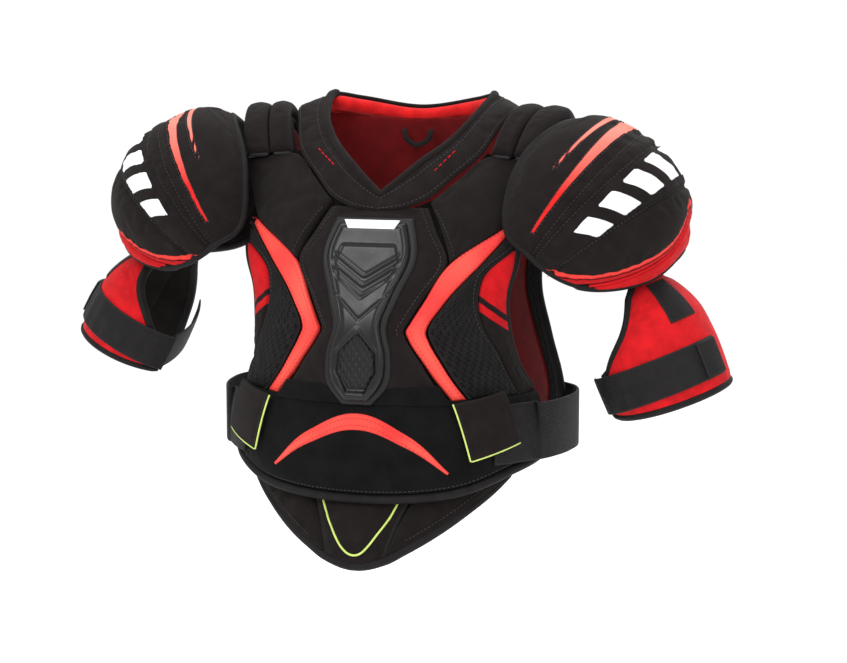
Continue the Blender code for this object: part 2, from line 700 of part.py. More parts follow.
def make_looks():
    return {
        "knit": material("charcoal_knit", (0.022, 0.020, 0.021), 0.85),
        "mesh_cloth": material("vented_cloth", (0.030, 0.028, 0.028), 0.8),
        "loop": material("brushed_loop", (0.008, 0.008, 0.009), 0.95),
        "binding": material("edge_binding", (0.018, 0.017, 0.018), 0.75),
        "coral": material("coral_cloth", (0.83, 0.10, 0.06), 0.6),
        "red": material("red_cloth", (0.66, 0.02, 0.02), 0.65),
        "lining": material("dark_red_lining", (0.22, 0.01, 0.012), 0.85),
        "webbing": material("black_webbing", (0.014, 0.014, 0.015), 0.7),
        "shell": material("moulded_shell", (0.02, 0.02, 0.022), 0.35),
        "rubber": material("grey_rubber", (0.05, 0.05, 0.05), 0.5),
        "silver": material("silver_badge", (0.75, 0.75, 0.76), 0.3, 0.6),
    }


clear_scene()
VEST = new_collection("shoulder_pads")
CUTTERS = new_collection("cutters")


def main():
    looks = make_looks()
    make_chest(looks)
    make_sternum(looks)
    make_back(looks)
    make_shoulders(looks)
    make_collar(looks)
    make_belly_pad(looks)
    for label, side in SIDES:
        cap = make_cap(label, side, looks)
        make_arm(label, side, cap, looks)
        make_waist_strap(label, side, looks)


main()
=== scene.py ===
"""Looks of the ice hockey shoulder pads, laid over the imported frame.

Lengths in the tables are millimetres in the frame's own axes: +Z up, the wearer faces -Y and the
wearer's left is +X. Pieces are turned into metres when their meshes are made.
"""

import math

import bpy
import numpy as np
from mathutils import Matrix, Vector
from mathutils.bvhtree import BVHTree
from mathutils.kdtree import KDTree


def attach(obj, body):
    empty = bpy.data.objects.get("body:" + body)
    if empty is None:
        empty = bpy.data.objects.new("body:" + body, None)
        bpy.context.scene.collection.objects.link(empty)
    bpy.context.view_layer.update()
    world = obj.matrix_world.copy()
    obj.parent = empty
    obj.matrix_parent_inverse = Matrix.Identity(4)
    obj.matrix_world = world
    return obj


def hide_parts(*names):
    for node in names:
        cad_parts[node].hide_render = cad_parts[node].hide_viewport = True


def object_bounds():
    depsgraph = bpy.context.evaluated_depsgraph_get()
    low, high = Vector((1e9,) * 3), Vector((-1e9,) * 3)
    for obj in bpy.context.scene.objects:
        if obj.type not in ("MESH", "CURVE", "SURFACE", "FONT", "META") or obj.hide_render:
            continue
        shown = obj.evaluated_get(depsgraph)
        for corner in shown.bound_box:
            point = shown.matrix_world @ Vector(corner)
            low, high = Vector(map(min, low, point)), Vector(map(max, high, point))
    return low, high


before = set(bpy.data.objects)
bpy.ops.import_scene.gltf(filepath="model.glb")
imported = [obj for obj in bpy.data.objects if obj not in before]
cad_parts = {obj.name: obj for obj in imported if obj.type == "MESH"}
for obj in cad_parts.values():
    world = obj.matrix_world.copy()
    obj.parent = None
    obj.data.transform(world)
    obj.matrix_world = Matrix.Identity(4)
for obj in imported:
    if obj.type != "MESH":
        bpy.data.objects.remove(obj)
CAD_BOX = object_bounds()

MM = 0.001
CROWN_RUN = 14.0  # mm in from a pad's edge over which its middle rises
SIDES = (("left", 1), ("right", -1))

# Dimensions shared with the solids.
FOAM, SKIN_GAP, LINER = 12.0, 1.0, 3.0
STRAP_WIDTH, ARM_STRAP_WIDTH = 56.0, 38.0
ROUNDNESS = 2.3
FRONT_LEVELS = (
    (0, 185, 20), (-40, 185, 52), (-62, 183, 66), (-98, 168, 86), (-130, 149, 103), (-161, 142, 115),
    (-200, 141, 121), (-238, 154, 125), (-295, 160, 128), (-330, 161, 129),
)
BACK_LEVELS = (
    (30, 175, 96), (0, 172, 104), (-60, 163, 117), (-98, 157, 124), (-140, 152, 129), (-180, 159, 131),
    (-236, 172, 129), (-300, 165, 124), (-330, 162, 121),
)
BELLY_LEVELS = ((-280, 148, 112), (-316, 148, 114), (-335, 148, 121), (-360, 148, 132), (-390, 148, 140))
ARCH_MIDDLE, ARCH_RISE, ARCH_THICK, BRIDGE_THICK = 30.0, 54.0, 8.0, 14.0
CAP_MIDDLE = np.array((190.0, 10.0, -60.0))
CAP_RADII = np.array((106.0, 92.0, 97.0))
CAP_POLE = np.array((0.55, 0.0, 0.835))
CAP_THICK = 12.0
CAP_HINGE = (152.0, -20.0, 44.0)
CAP_DROP = {"left": 2.5, "right": -2.5}
CAP_HINGE_AXIS = (0.23, 0.973, 0.0)
CAP_RIM = (
    (170, 10, 45), (157, -24, 12), (136, -54, -26), (125, -72, -64), (150, -84, -97), (210, -64, -124),
    (262, -30, -112), (291, 12, -86), (268, 52, -108), (222, 82, -118), (170, 100, -92), (160, 96, -50),
    (170, 88, -4), (176, 55, 38),
)
CAP_DEGREE = 1.66  # mm of cap surface to one degree of its angles
ARM_PIVOT = {"left": (211.0, 14.0, -76.0), "right": (206.0, 14.0, -58.0)}
ARM_TILT = {"left": 23.0, "right": 29.0}
ARM_TWIST = {"left": -13.0, "right": 13.0}
ARM_TOP, ARM_BOTTOM = -40.0, -176.0
ARM_NECK = {"left": 15.0, "right": 0.0}
ARM_LEVELS = ((-30, 16), (-52, 25), (-70, 35), (-88, 47), (-108, 56), (-136, 60), (-178, 60))
ARM_FRONT_EDGE = ((-38, 32), (-69, 18), (-95, 2), (-118, -24), (-147, -52), (-176, -62))
ARM_THICK = 8.0
ARM_STRAP_LOW = -164.0
ARM_STRAP_TURNS = (-62.0, 88.0)  # degrees round the guard from its front
ARM_TAB = ARM_STRAP_WIDTH * 2 / 3  # length of the finger tab at the strap's end
STRAP_ROUTE = ((150, 84), (170, 62), (179, 34), (178, 4), (168, -34), (146, -70), (124, -92))
STRAP_LOW = -290.0
BELLY_MIDDLE = ((52, -318), (36, -350), (28, -378))  # the middle panel's side edge
BELLY_FOOT = -386.0
BELLY_INSET = 10.0  # the piping is a seam's allowance inside that edge


# ---------------------------------------------------------------- curves and surfaces


def through(at, values):
    """A smooth function through values at the given places, for one number or an array of them."""
    at, values = np.asarray(at, float), np.asarray(values, float)
    slope = np.gradient(values, at, axis=0)

    def curve(t):
        t = np.asarray(t, float)
        flat = np.clip(t.ravel(), at[0], at[-1])
        i = np.clip(np.searchsorted(at, flat) - 1, 0, len(at) - 2)
        width = (at[i + 1] - at[i])[:, None]
        s = (flat - at[i])[:, None] / width
        made = (
            (2 * s**3 - 3 * s**2 + 1) * values[i]
            + (s**3 - 2 * s**2 + s) * width * slope[i]
            + (3 * s**2 - 2 * s**3) * values[i + 1]
            + (s**3 - s**2) * width * slope[i + 1]
        )
        return made.reshape(*t.shape, values.shape[1])

    return curve


def level_table(rows):
    rows = np.array(sorted(rows), float)
    return through(rows[:, 0], rows[:, 1:])


def spline(points):
    points = np.array(points, float)
    step = np.linalg.norm(np.diff(points, axis=0), axis=1)
    return through(np.concatenate([[0.0], np.cumsum(step)]) / step.sum(), points)


def power(value, exponent):
    return np.copysign(np.abs(value) ** exponent, value)


def unit(vectors):
    return vectors / np.maximum(np.linalg.norm(vectors, axis=-1, keepdims=True), 1e-9)


def arrays(*values):
    """The values as float arrays of one shape."""
    return np.broadcast_arrays(*(np.asarray(value, float) for value in values))


def shell(levels, facing):
    """A torso surface: angles in degrees from its middle, heights and offsets to points in mm."""
    table = level_table(levels)

    def bare(angle, height):
        width, depth = np.moveaxis(table(height), -1, 0)
        turn = np.radians(angle)
        x = width * power(np.sin(turn), 2 / ROUNDNESS)
        return np.stack([x, facing * depth * power(np.cos(turn), 2 / ROUNDNESS), height], -1)

    def point(angle, height, offset=0.0):
        angle, height = arrays(angle, height)
        across = bare(angle + 2, height) - bare(angle - 2, height)
        up = bare(angle, height + 2) - bare(angle, height - 2)
        normal = unit(np.cross(across, up) * -facing)
        return bare(angle, height) + np.asarray(offset, float)[..., None] * normal

    def angle_of(x, height):
        share = np.minimum(np.abs(x) / table(height)[..., 0], 1.0)
        return np.copysign(np.degrees(np.arcsin(share ** (ROUNDNESS / 2))), x)

    point.angle_of = angle_of
    return point


FRONT = shell(FRONT_LEVELS, -1)
BACK = shell(BACK_LEVELS, 1)
BELLY = shell(BELLY_LEVELS, -1)


def outline(surface, *points):
    x, z = np.array(points, float).T
    return spline(np.stack([surface.angle_of(x, z), z], -1))


def mirrored(guide):
    return lambda t: guide(t) * np.array((-1, 1))


def shifted(guide, sideways, up=0.0):
    return lambda t: guide(t) + np.array((sideways, up))


def straight(start, end):
    start, end = np.array(start, float), np.array(end, float)
    return lambda t: start + (end - start) * np.asarray(t, float)[..., None]


def reverse(guide):
    return lambda t: guide(1 - np.asarray(t, float))


def between(inner, outer):
    return lambda u, v: inner(v) * (1 - u)[..., None] + outer(v) * u[..., None]


def coons(bottom, top, left, right):
    def patch(u, v):
        a, b = u[..., None], v[..., None]
        zero, one = np.zeros(1), np.ones(1)
        edges = (1 - b) * bottom(u) + b * top(u) + (1 - a) * left(v) + a * right(v)
        corners = (1 - a) * (1 - b) * bottom(zero) + a * (1 - b) * bottom(one)
        return edges - corners - (1 - a) * b * top(zero) - a * b * top(one)

    return patch


def on(surface, patch, side=1):
    """Lays a patch of angles and heights on a torso surface."""

    def place(u, v, offset):
        angle, height = np.moveaxis(patch(u, v), -1, 0)
        return surface(angle, height, offset) * np.array((side, 1, 1))

    return place


def trace(surface, points, side=1, offset=0.0, count=80):
    """A line on a torso surface through (x, height) points."""
    angle, height = np.moveaxis(outline(surface, *points)(np.linspace(0, 1, count)), -1, 0)
    return surface(angle, height, np.full(count, offset)) * np.array((side, 1, 1))


def guide_points(surface, guide, side=1, offset=0.0, count=110, start=0.0, end=1.0):
    """Points along a guide curve of angles and heights on a torso surface."""
    t = np.linspace(start, end, count)
    return on(surface, lambda a, b: guide(b), side)(t, t, np.full(count, offset))


def arch_point(x, turn, offset):
    lean = 0.36 * (np.minimum(turn, 95) / 95) * 66
    deep = 40 + (x - 95) * 0.18 + offset
    middle_height = -20 - (x - 95) * 0.07
    angle = np.radians(turn)
    y = ARCH_MIDDLE - deep * np.cos(angle)
    return np.stack([x + lean, y, middle_height + (ARCH_RISE + offset) * np.sin(angle)], -1)


def turned(points, matrix, about):
    matrix = np.array(matrix.to_3x3())
    return (points - about) @ matrix.T + about


CAP_UP = unit(CAP_POLE)
CAP_FORWARD = np.array((0.0, -1.0, 0.0))
CAP_OUT = unit(np.cross(CAP_UP, CAP_FORWARD))


def cap_surface(label, side):
    """The cap at rest: degrees outwards and forwards from its pole, and an offset, to points in mm."""
    hinge = np.array(CAP_HINGE) * (side, 1, 1)
    axis = Vector((CAP_HINGE_AXIS[0], CAP_HINGE_AXIS[1] * side, 0))
    drop = Matrix.Rotation(math.radians(CAP_DROP[label]), 4, axis)

    def point(p, q, offset=0.0):
        p, q, offset = arrays(p, q, offset)
        away = np.maximum(np.hypot(p, q), 1e-9)
        heading = (CAP_OUT * p[..., None] + CAP_FORWARD * q[..., None]) / away[..., None]
        turn = np.radians(away)[..., None]
        way = CAP_UP * np.cos(turn) + heading * np.sin(turn)
        bare = way / np.linalg.norm(way / CAP_RADII, axis=-1, keepdims=True)
        raised = CAP_MIDDLE + bare + unit(bare / CAP_RADII**2) * offset[..., None]
        return turned(raised * (side, 1, 1), drop, hinge)

    return point


def cap_reach():
    """The rim's distance in degrees from the pole, by heading in radians."""
    way = unit(np.array(CAP_RIM, float) - CAP_MIDDLE)
    away = np.degrees(np.arccos(way @ CAP_UP))
    p, q = way @ CAP_OUT, way @ CAP_FORWARD
    heading = np.arctan2(q, p)
    order = np.argsort(heading)
    heads = np.concatenate([heading[order] + turn for turn in (-2 * math.pi, 0, 2 * math.pi)])
    table = through(heads, np.tile(away[order], 3)[:, None])
    return lambda angle: table(angle)[..., 0]


REACH = cap_reach()


def border_width(heading):
    return np.maximum(0.0, 17 * np.cos(np.minimum(np.abs(heading) * 1.5, math.pi / 2)))


def cap_patch(surface, shrink):
    """The cap's pad inside its border, from the unit square bent onto a disc."""

    def place(u, v, offset):
        x, y = 2 * u - 1, 2 * v - 1
        x, y = x * np.sqrt(1 - y * y / 2), y * np.sqrt(1 - x * x / 2)
        heading, share = np.arctan2(y, x), np.hypot(x, y)
        far = (REACH(heading) - shrink - border_width(heading) - 1.6) * share
        return surface(far * np.cos(heading), far * np.sin(heading), offset)

    return place


def cap_position(u, v):
    """The cap's angles at a place in its pad."""
    return cap_patch(lambda p, q, offset: np.stack([p, q], -1), 0)(u, v, np.zeros_like(u))


ARM_RADIUS = level_table(ARM_LEVELS)


def arm_surface(label, side):
    """The arm guard at rest: degrees from its front, height along it and an offset, to points in mm."""
    tilt = Matrix.Rotation(math.radians(-ARM_TILT[label] * side), 4, "Y")
    twist = Matrix.Rotation(math.radians(ARM_TWIST[label] * side), 4, "Z")
    pivot = np.array(ARM_PIVOT[label]) * (side, 1, 1)

    def point(turn, height, offset=0.0):
        turn, height, offset = arrays(turn, height, offset)
        radius = ARM_RADIUS(height - ARM_NECK[label])[..., 0] + offset
        angle = np.radians(turn)
        bare = np.stack([side * radius * np.sin(angle), -radius * np.cos(angle), height], -1)
        return turned(bare, tilt @ twist, 0) + pivot

    return point


# ---------------------------------------------------------------- materials


class Look:
    """A procedural material on a Principled shader."""

    def __init__(self, name, roughness, **constants):
        self.material = bpy.data.materials.new(name)
        self.material.use_nodes = True
        self.tree = self.material.node_tree
        self.shader = self.tree.nodes["Principled BSDF"]
        self.shader.inputs["Roughness"].default_value = roughness
        for socket, value in constants.items():
            self.shader.inputs[socket.replace("_", " ")].default_value = value
        lay = self.node("Attribute", attribute_name="lay", attribute_type="GEOMETRY")
        self.across, self.along, self.edge = self.node("SeparateXYZ", {0: lay.outputs["Vector"]}).outputs
        mark = self.node("Attribute", attribute_name="mark", attribute_type="GEOMETRY")
        self.marks = self.node("SeparateXYZ", {0: mark.outputs["Vector"]}).outputs
        self.place = self.node("TexCoord").outputs["Object"]
        self.height = None

    def put(self, socket, value):
        if isinstance(value, bpy.types.NodeSocket):
            self.tree.links.new(value, socket)
        else:
            socket.default_value = value

    def node(self, kind, inputs=None, **settings):
        made = self.tree.nodes.new("ShaderNode" + kind)
        for key, value in settings.items():
            setattr(made, key, value)
        for key, value in (inputs or {}).items():
            self.put(made.inputs[key], value)
        return made

    def math(self, operation, *values):
        return self.node("Math", dict(enumerate(values)), operation=operation).outputs[0]

    def noise(self, scale, detail=2.0):
        return self.node("TexNoise", {"Vector": self.place, "Scale": scale,
                                      "Detail": detail}).outputs["Fac"]

    def wave(self, value, pitch):
        return self.math("SINE", self.math("MULTIPLY", value, 2 * math.pi / pitch))

    def ramp(self, value, start, end, low=0.0, high=1.0):
        inputs = {"Value": value, "From Min": start, "From Max": end, "To Min": low, "To Max": high}
        return self.node("MapRange", inputs).outputs["Result"]

    def mix(self, factor, first, second):
        made = self.node("Mix", {0: factor}, data_type="RGBA")
        for socket, value in ((made.inputs[6], first), (made.inputs[7], second)):
            self.put(socket, (*value, 1) if isinstance(value, tuple) else value)
        return made.outputs[2]

    def mottled(self, colour, spread=0.22, scale=70.0, fine=900.0):
        """The colour with soft patches and a fine grain of threads."""
        dark = tuple(c * (1 - spread) for c in colour)
        light = tuple(min(c * (1 + spread), 1.0) for c in colour)
        soft = self.mix(self.ramp(self.noise(scale, 3.0), 0.35, 0.65), dark, light)
        grain = self.ramp(self.noise(fine, 1.0), 0.3, 0.7)
        lighter = tuple(min(c * (1 + 2 * spread) + 0.002, 1.0) for c in colour)
        return self.mix(self.math("MULTIPLY", grain, 0.35), soft, lighter)

    def add_height(self, value, amount):
        value = self.math("MULTIPLY", value, amount)
        self.height = value if self.height is None else self.math("ADD", self.height, value)

    def finish(self, colour, depth=0.0004, strength=0.6):
        self.put(self.shader.inputs["Base Color"], colour)
        if self.height is not None:
            bump = self.node("Bump", {"Height": self.height, "Distance": depth, "Strength": strength})
            self.put(self.shader.inputs["Normal"], bump.outputs["Normal"])
        return self.material


BLACK = (0.0088, 0.0060, 0.0059)
DEEP = (0.0045, 0.0042, 0.0042)
RED = (0.45, 0.006, 0.009)
DARK_RED = (0.115, 0.002, 0.003)


def knitted(look, pitch=1.5):
    first = look.wave(look.math("ADD", look.across, look.along), pitch)
    second = look.wave(look.math("SUBTRACT", look.across, look.along), pitch)
    look.add_height(look.math("MULTIPLY", first, second), 0.6)
    look.add_height(look.noise(1500.0, 2.0), 0.9)


# Printed lines, as depths in mm inside their marking. They were measured on the photo.
RED_LINES = (7.6, 17.5)
WING_STRIP = (4.6, 10.2)
PRINT_BLUR = 0.3


def red_edge(look, colour):
    """The red lower edge of a cap over colour: coral at its top, with two dark lines along it."""
    depth = look.marks[2]
    red = look.mottled(RED, 0.1)
    red = look.mix(look.ramp(depth, 5.6, 5.0), red, (0.72, 0.05, 0.04))
    for middle in RED_LINES:
        away = look.math("ABSOLUTE", look.math("SUBTRACT", depth, middle))
        red = look.mix(look.ramp(away, 1.2, 0.8), red, (0.02, 0.003, 0.004))
    return look.mix(look.ramp(depth, -PRINT_BLUR, PRINT_BLUR), colour, red)


def make_looks():
    made = {}

    def cloth(name, colour, roughness=0.85, sheen=0.03, pitch=1.5, worn=0.35):
        look = Look(name, roughness, Sheen_Weight=sheen, Sheen_Roughness=0.5, Specular_IOR_Level=0.09)
        knitted(look, pitch)
        body = look.mottled(colour)
        rubbed = tuple(min(c * 1.7 + 0.004, 1.0) for c in colour)
        edge = look.math("MULTIPLY", look.ramp(look.edge, 3.5, 0.0), worn)
        return look, look.mix(edge, body, rubbed)

    look, colour = cloth("charcoal_knit_weave", BLACK)
    made["knit"] = look.finish(colour)

    look, colour = cloth("vented_cloth_weave", (0.0105, 0.0092, 0.009))
    row = look.math("FLOOR", look.math("DIVIDE", look.along, 6.5))
    across = look.math("ADD", look.across, look.math("MULTIPLY", row, 3.75))
    away_x = look.math("PINGPONG", look.math("ADD", across, 3.75), 3.75)
    away_y = look.math("PINGPONG", look.along, 3.25)
    away_y = look.math("SUBTRACT", away_y, 1.6)
    square = look.math("ADD", look.math("POWER", away_x, 2.0), look.math("POWER", away_y, 2.0))
    # The perforations dip in the bump, and their near-black colour is painted shade inside the holes.
    hole_dip_and_shade = look.ramp(look.math("SQRT", square), 1.7, 1.05)
    look.add_height(hole_dip_and_shade, -3.0)
    made["vented"] = look.finish(look.mix(hole_dip_and_shade, colour, (0.002, 0.002, 0.002)), 0.0008, 0.8)

    look = Look("brushed_loop_pile", 0.95, Sheen_Weight=0.03, Specular_IOR_Level=0.05)
    look.add_height(look.noise(2600.0, 3.0), 1.0)
    look.add_height(look.wave(look.across, 1.1), 0.12)
    made["loop"] = look.finish(look.mottled(DEEP, 0.3, 40.0), 0.0006)

    look = Look("edge_binding_tape", 0.65, Specular_IOR_Level=0.12)
    look.add_height(look.wave(look.along, 1.3), 0.6)
    look.add_height(look.noise(1200.0), 0.4)
    made["binding"] = look.finish(look.mottled((0.0085, 0.0075, 0.0075)), 0.0003)

    look = Look("coral_coated_cloth", 0.5, Specular_IOR_Level=0.25)
    look.add_height(look.wave(look.math("ADD", look.across, look.along), 1.1), 0.25)
    look.add_height(look.noise(900.0), 0.5)
    warm = look.mix(look.ramp(look.noise(16.0, 1.0), 0.35, 0.65), (0.68, 0.028, 0.024),
                    (0.80, 0.075, 0.05))
    # Painted shade: the coral turns darker red within 2.2 mm of its edges, where it meets the pieces around
    # it.
    rim = look.ramp(look.edge, 2.2, 0.3, 0.0, 0.55)
    made["coral"] = look.finish(look.mix(rim, warm, (0.42, 0.015, 0.013)), 0.0003, 0.4)

    look, colour = cloth("red_knit_cloth", RED, 0.68, 0.02, 1.4, 0.0)
    # Painted shade: the red turns darker within 3 mm of a pad's edge, over its rounded lip beside the
    # binding.
    rim = look.ramp(look.edge, 3.0, 0.0, 0.0, 0.5)
    made["red"] = look.finish(look.mix(rim, colour, (0.35, 0.006, 0.006)), 0.0003, 0.45)

    look, colour = cloth("dark_red_lining_cloth", DARK_RED, 0.9, 0.08, 1.8, 0.0)
    made["lining"] = look.finish(colour, 0.0005)

    look, colour = cloth("bright_lining_cloth", (0.52, 0.007, 0.008), 0.8, 0.05, 1.6, 0.0)
    made["bright_lining"] = look.finish(colour, 0.0004)

    look = Look("black_webbing_ribs", 0.62, Specular_IOR_Level=0.14)
    look.add_height(look.wave(look.along, 2.1), 0.8)
    look.add_height(look.wave(look.across, 0.9), 0.3)
    look.add_height(look.noise(1400.0), 0.5)
    worn = look.math("MULTIPLY", look.ramp(look.edge, 2.0, 0.0), 0.6)
    colour = look.mottled((0.0085, 0.0075, 0.0078))
    made["webbing"] = look.finish(look.mix(worn, colour, (0.022, 0.020, 0.020)), 0.0004)

    look = Look("moulded_shell_plastic", 0.3, Specular_IOR_Level=0.28)
    look.add_height(look.noise(2200.0, 2.0), 0.5)
    worn = look.math("MULTIPLY", look.ramp(look.edge, 1.6, 0.0),
                     look.ramp(look.noise(160.0), 0.35, 0.7, 0.1, 0.6))
    look.put(look.shader.inputs["Roughness"], look.ramp(look.noise(45.0, 3.0), 0.3, 0.7, 0.20, 0.34))
    colour = look.mottled((0.0042, 0.0042, 0.0046), 0.1)
    made["shell"] = look.finish(look.mix(worn, colour, (0.03, 0.03, 0.032)), 0.0001, 0.35)

    look = Look("grey_rubber_moulding", 0.45, Specular_IOR_Level=0.2)
    look.add_height(look.noise(1800.0), 0.6)
    made["rubber"] = look.finish(look.mottled((0.0075, 0.0072, 0.0074), 0.15), 0.0002, 0.4)

    look = Look("silver_badge_metal", 0.3, Metallic=0.55)
    look.add_height(look.noise(700.0), 0.3)
    frame_line = look.math("MULTIPLY", look.ramp(look.edge, 2.1, 1.8), look.ramp(look.edge, 1.2, 1.5))
    colour = look.mottled((0.72, 0.72, 0.74), 0.06)
    made["silver"] = look.finish(look.mix(frame_line, colour, (0.2, 0.2, 0.21)), 0.0001, 0.3)

    look = Look("neon_piping_cord", 0.5)
    look.add_height(look.wave(look.along, 1.2), 0.5)
    made["neon"] = look.finish(look.mottled((0.46, 0.58, 0.13), 0.12), 0.0002)

    look = Look("sewing_thread", 0.6)
    look.add_height(look.wave(look.along, 0.7), 0.5)
    made["thread"] = look.finish(look.mottled((0.022, 0.019, 0.019), 0.2), 0.0002)

    # The cap cloth: red stripes that turn coral on the cap's top as a painted highlight, silver bars, a red
    # lower edge with dark lines, and black between.
    look, colour = cloth("cap_printed_knit", BLACK)
    stripe = look.ramp(look.marks[0], -0.35, 0.35)
    # Painted highlight: the stripes are lighter, pinker coral high on the cap and red lower down, keyed to
    # height.
    level = look.node("SeparateXYZ", {0: look.place}).outputs[2]
    stripe_colour_painted_highlight = look.mix(look.ramp(level, 0.03, -0.03), (0.88, 0.22, 0.17), (0.62, 0.018, 0.016))
    colour = red_edge(look, colour)
    bars = look.ramp(look.marks[1], -PRINT_BLUR, PRINT_BLUR)
    outline_of_bars = look.ramp(look.marks[1], -2.0, -1.4)
    colour = look.mix(outline_of_bars, colour, (0.006, 0.006, 0.006))
    colour = look.mix(bars, colour, look.mottled((0.74, 0.74, 0.75), 0.08))
    made["cap_cloth"] = look.finish(look.mix(stripe, colour, stripe_colour_painted_highlight), 0.0004, 0.5)

    look, colour = cloth("cap_border_cloth", BLACK, 0.6, 0.02, 1.4, 0.0)
    made["border_cloth"] = look.finish(red_edge(look, colour), 0.0003, 0.45)

    # The chest wing: a red wedge, a red strip and black knit.
    look, colour = cloth("chest_wing_cloth", BLACK)
    wedge = look.ramp(look.marks[0], -PRINT_BLUR, PRINT_BLUR)
    near, far = WING_STRIP
    begins = look.ramp(look.marks[0], PRINT_BLUR - near, -PRINT_BLUR - near)
    strip = look.math("MULTIPLY", begins, look.ramp(look.marks[0], -PRINT_BLUR - far, PRINT_BLUR - far))
    red = look.mottled(RED, 0.12)
    edge_line = look.math("MULTIPLY", look.ramp(look.marks[1], 2.6, 2.1),
                          look.ramp(look.marks[1], 1.2, 1.5))
    colour = look.mix(edge_line, colour, (0.35, 0.05, 0.045))
    made["wing_cloth"] = look.finish(look.mix(look.math("MAXIMUM", wedge, strip), colour, red))

    look = Look("pale_floor", 0.85)
    made["floor"] = look.finish((0.99, 0.99, 0.99, 1))
    return made


LOOKS = make_looks()


# ---------------------------------------------------------------- mesh builders


def nearest(points, samples):
    """Each point's distance to the nearest of the samples."""
    tree = KDTree(len(samples))
    for index, sample in enumerate(samples):
        tree.insert(sample, index)
    tree.balance()
    return np.array([tree.find(point)[2] for point in points])


def mesh_object(name, points, faces, look, lay, mark=None, second=None, slots=None):
    mesh = bpy.data.meshes.new(name)
    mesh.from_pydata((points * MM).tolist(), [], [list(face) for face in faces])
    for layer, values in (("lay", lay), ("mark", np.zeros_like(lay) if mark is None else mark)):
        attribute = mesh.attributes.new(layer, "FLOAT_VECTOR", "POINT")
        attribute.data.foreach_set("vector", np.ascontiguousarray(values, np.float32).ravel())
    mesh.materials.append(LOOKS[look])
    if second:
        mesh.materials.append(LOOKS[second])
        mesh.polygons.foreach_set("material_index", np.array(slots, np.int32))
    mesh.shade_smooth()
    mesh.validate()
    obj = bpy.data.objects.new(f"{name}_shown", mesh)
    bpy.context.scene.collection.objects.link(obj)
    return obj


def grid_lines(size, spacing, lip):
    """Shares from 0 to 1 across a pad, closer together inside its rounded lip."""
    share = min(lip / size, 0.3)
    edge = np.array((0, 0.1, 0.32, 0.65)) * share
    count = max(2, round(size * (1 - 2 * share) / spacing))
    return np.concatenate([edge, np.linspace(share, 1 - share, count + 1), 1 - edge[::-1]])


def length_of(points):
    return np.linalg.norm(np.diff(points, axis=0), axis=1).sum()


def largest_side(place, middle, along_u):
    probe = np.linspace(0, 1, 25)
    sizes = []
    for share in (0.05, 0.3, 0.5, 0.7, 0.95):
        other = np.full(25, share)
        ends = (probe, other) if along_u else (other, probe)
        sizes.append(length_of(place(*ends, np.full(25, middle))))
    return max(sizes)


SWELL = []


def pad(name, place, look, low, high, spacing=4.0, lip=5.0, crown=0.0, channels=(), relief=None,
        mark=None, under=None, around=False, fine=1, swell=0.0):
    """A closed cushion or panel: place(u, v, offset) gives its points, low and high its two faces.

    Its edges are rounded over lip, its middle rises by crown, and each channel is (points, depth,
    width) of a sewn groove. swell is how far the cloth simulation may move it.
    """
    middle = (low + high) / 2
    across, along = (largest_side(place, middle, axis) for axis in (True, False))
    if around:
        us = np.linspace(0, 1, round(across / spacing) + 1)[:-1]
    else:
        us = grid_lines(across, spacing, lip)
    vs = grid_lines(along, spacing, lip)
    shape = (len(us), len(vs))
    u, v = (values.ravel() for values in np.meshgrid(us, vs, indexing="ij"))
    flat = place(u, v, np.full(u.size, middle))
    sample = np.linspace(0, 1, 300)
    zero, one, half = np.zeros(300), np.ones(300), np.full(300, middle)
    rims = [place(sample, zero, half), place(sample, one, half)]
    on_rim = np.isin(v, (0, 1))
    if not around:
        rims += [place(zero, sample, half), place(one, sample, half)]
        on_rim |= np.isin(u, (0, 1))
    edge = nearest(flat, np.concatenate(rims))
    edge[on_rim] = 0
    rounding = np.sqrt(np.clip(1 - (1 - np.clip(edge / lip, 0, 1)) ** 2, 0, 1))
    rise = (high - middle) * rounding + crown * (1 - ridge(edge, 0, CROWN_RUN))
    held = np.clip(1.2 - edge / (lip + 2), 0, 1)
    for points, depth, width in channels:
        away = nearest(flat, points)
        groove = ridge(away, 0, width)
        rise -= depth * groove * np.clip(edge / 3, 0, 1)
        held = np.maximum(held, groove)
    lay = np.stack([u * across, v * along, edge], -1)
    if relief:
        rise += relief(flat, lay, edge)
    top = place(u, v, middle + np.where(on_rim, 0, rise))
    inner = np.flatnonzero(~on_rim)
    bottom = place(u[inner], v[inner], middle - (middle - low) * rounding[inner])
    points = np.concatenate([top, bottom])
    upper = np.arange(u.size).reshape(shape)
    lower = upper.copy().ravel()
    lower[inner] = u.size + np.arange(len(inner))
    lower = lower.reshape(shape)
    if around:
        upper, lower = (np.vstack([grid, grid[:1]]) for grid in (upper, lower))

    def quads(grid):
        return np.stack([grid[:-1, :-1], grid[1:, :-1], grid[1:, 1:], grid[:-1, 1:]], -1).reshape(-1, 4)

    faces = np.concatenate([quads(upper), quads(lower)[:, ::-1]])
    a, b, c, d = points[faces.T]
    volume = (a * (np.cross(b, c) + np.cross(c, d))).sum()
    if volume < 0:
        faces = faces[:, ::-1]
    lay = np.concatenate([lay, lay[inner]])
    marks = None
    if mark:
        marks = mark(u, v, flat, edge)
        marks = np.concatenate([marks, marks[inner]])
    slots = np.repeat((0, 1), len(faces) // 2) if under else None
    obj = mesh_object(name, points, faces, look, lay, marks, under, slots)
    if fine:
        smooth = obj.modifiers.new("Fine", "SUBSURF")
        smooth.levels = smooth.render_levels = fine
    if swell:
        fixed = np.concatenate([held, np.maximum(held[inner], 0.7)])
        SWELL.append((obj, fixed, swell))
    return obj


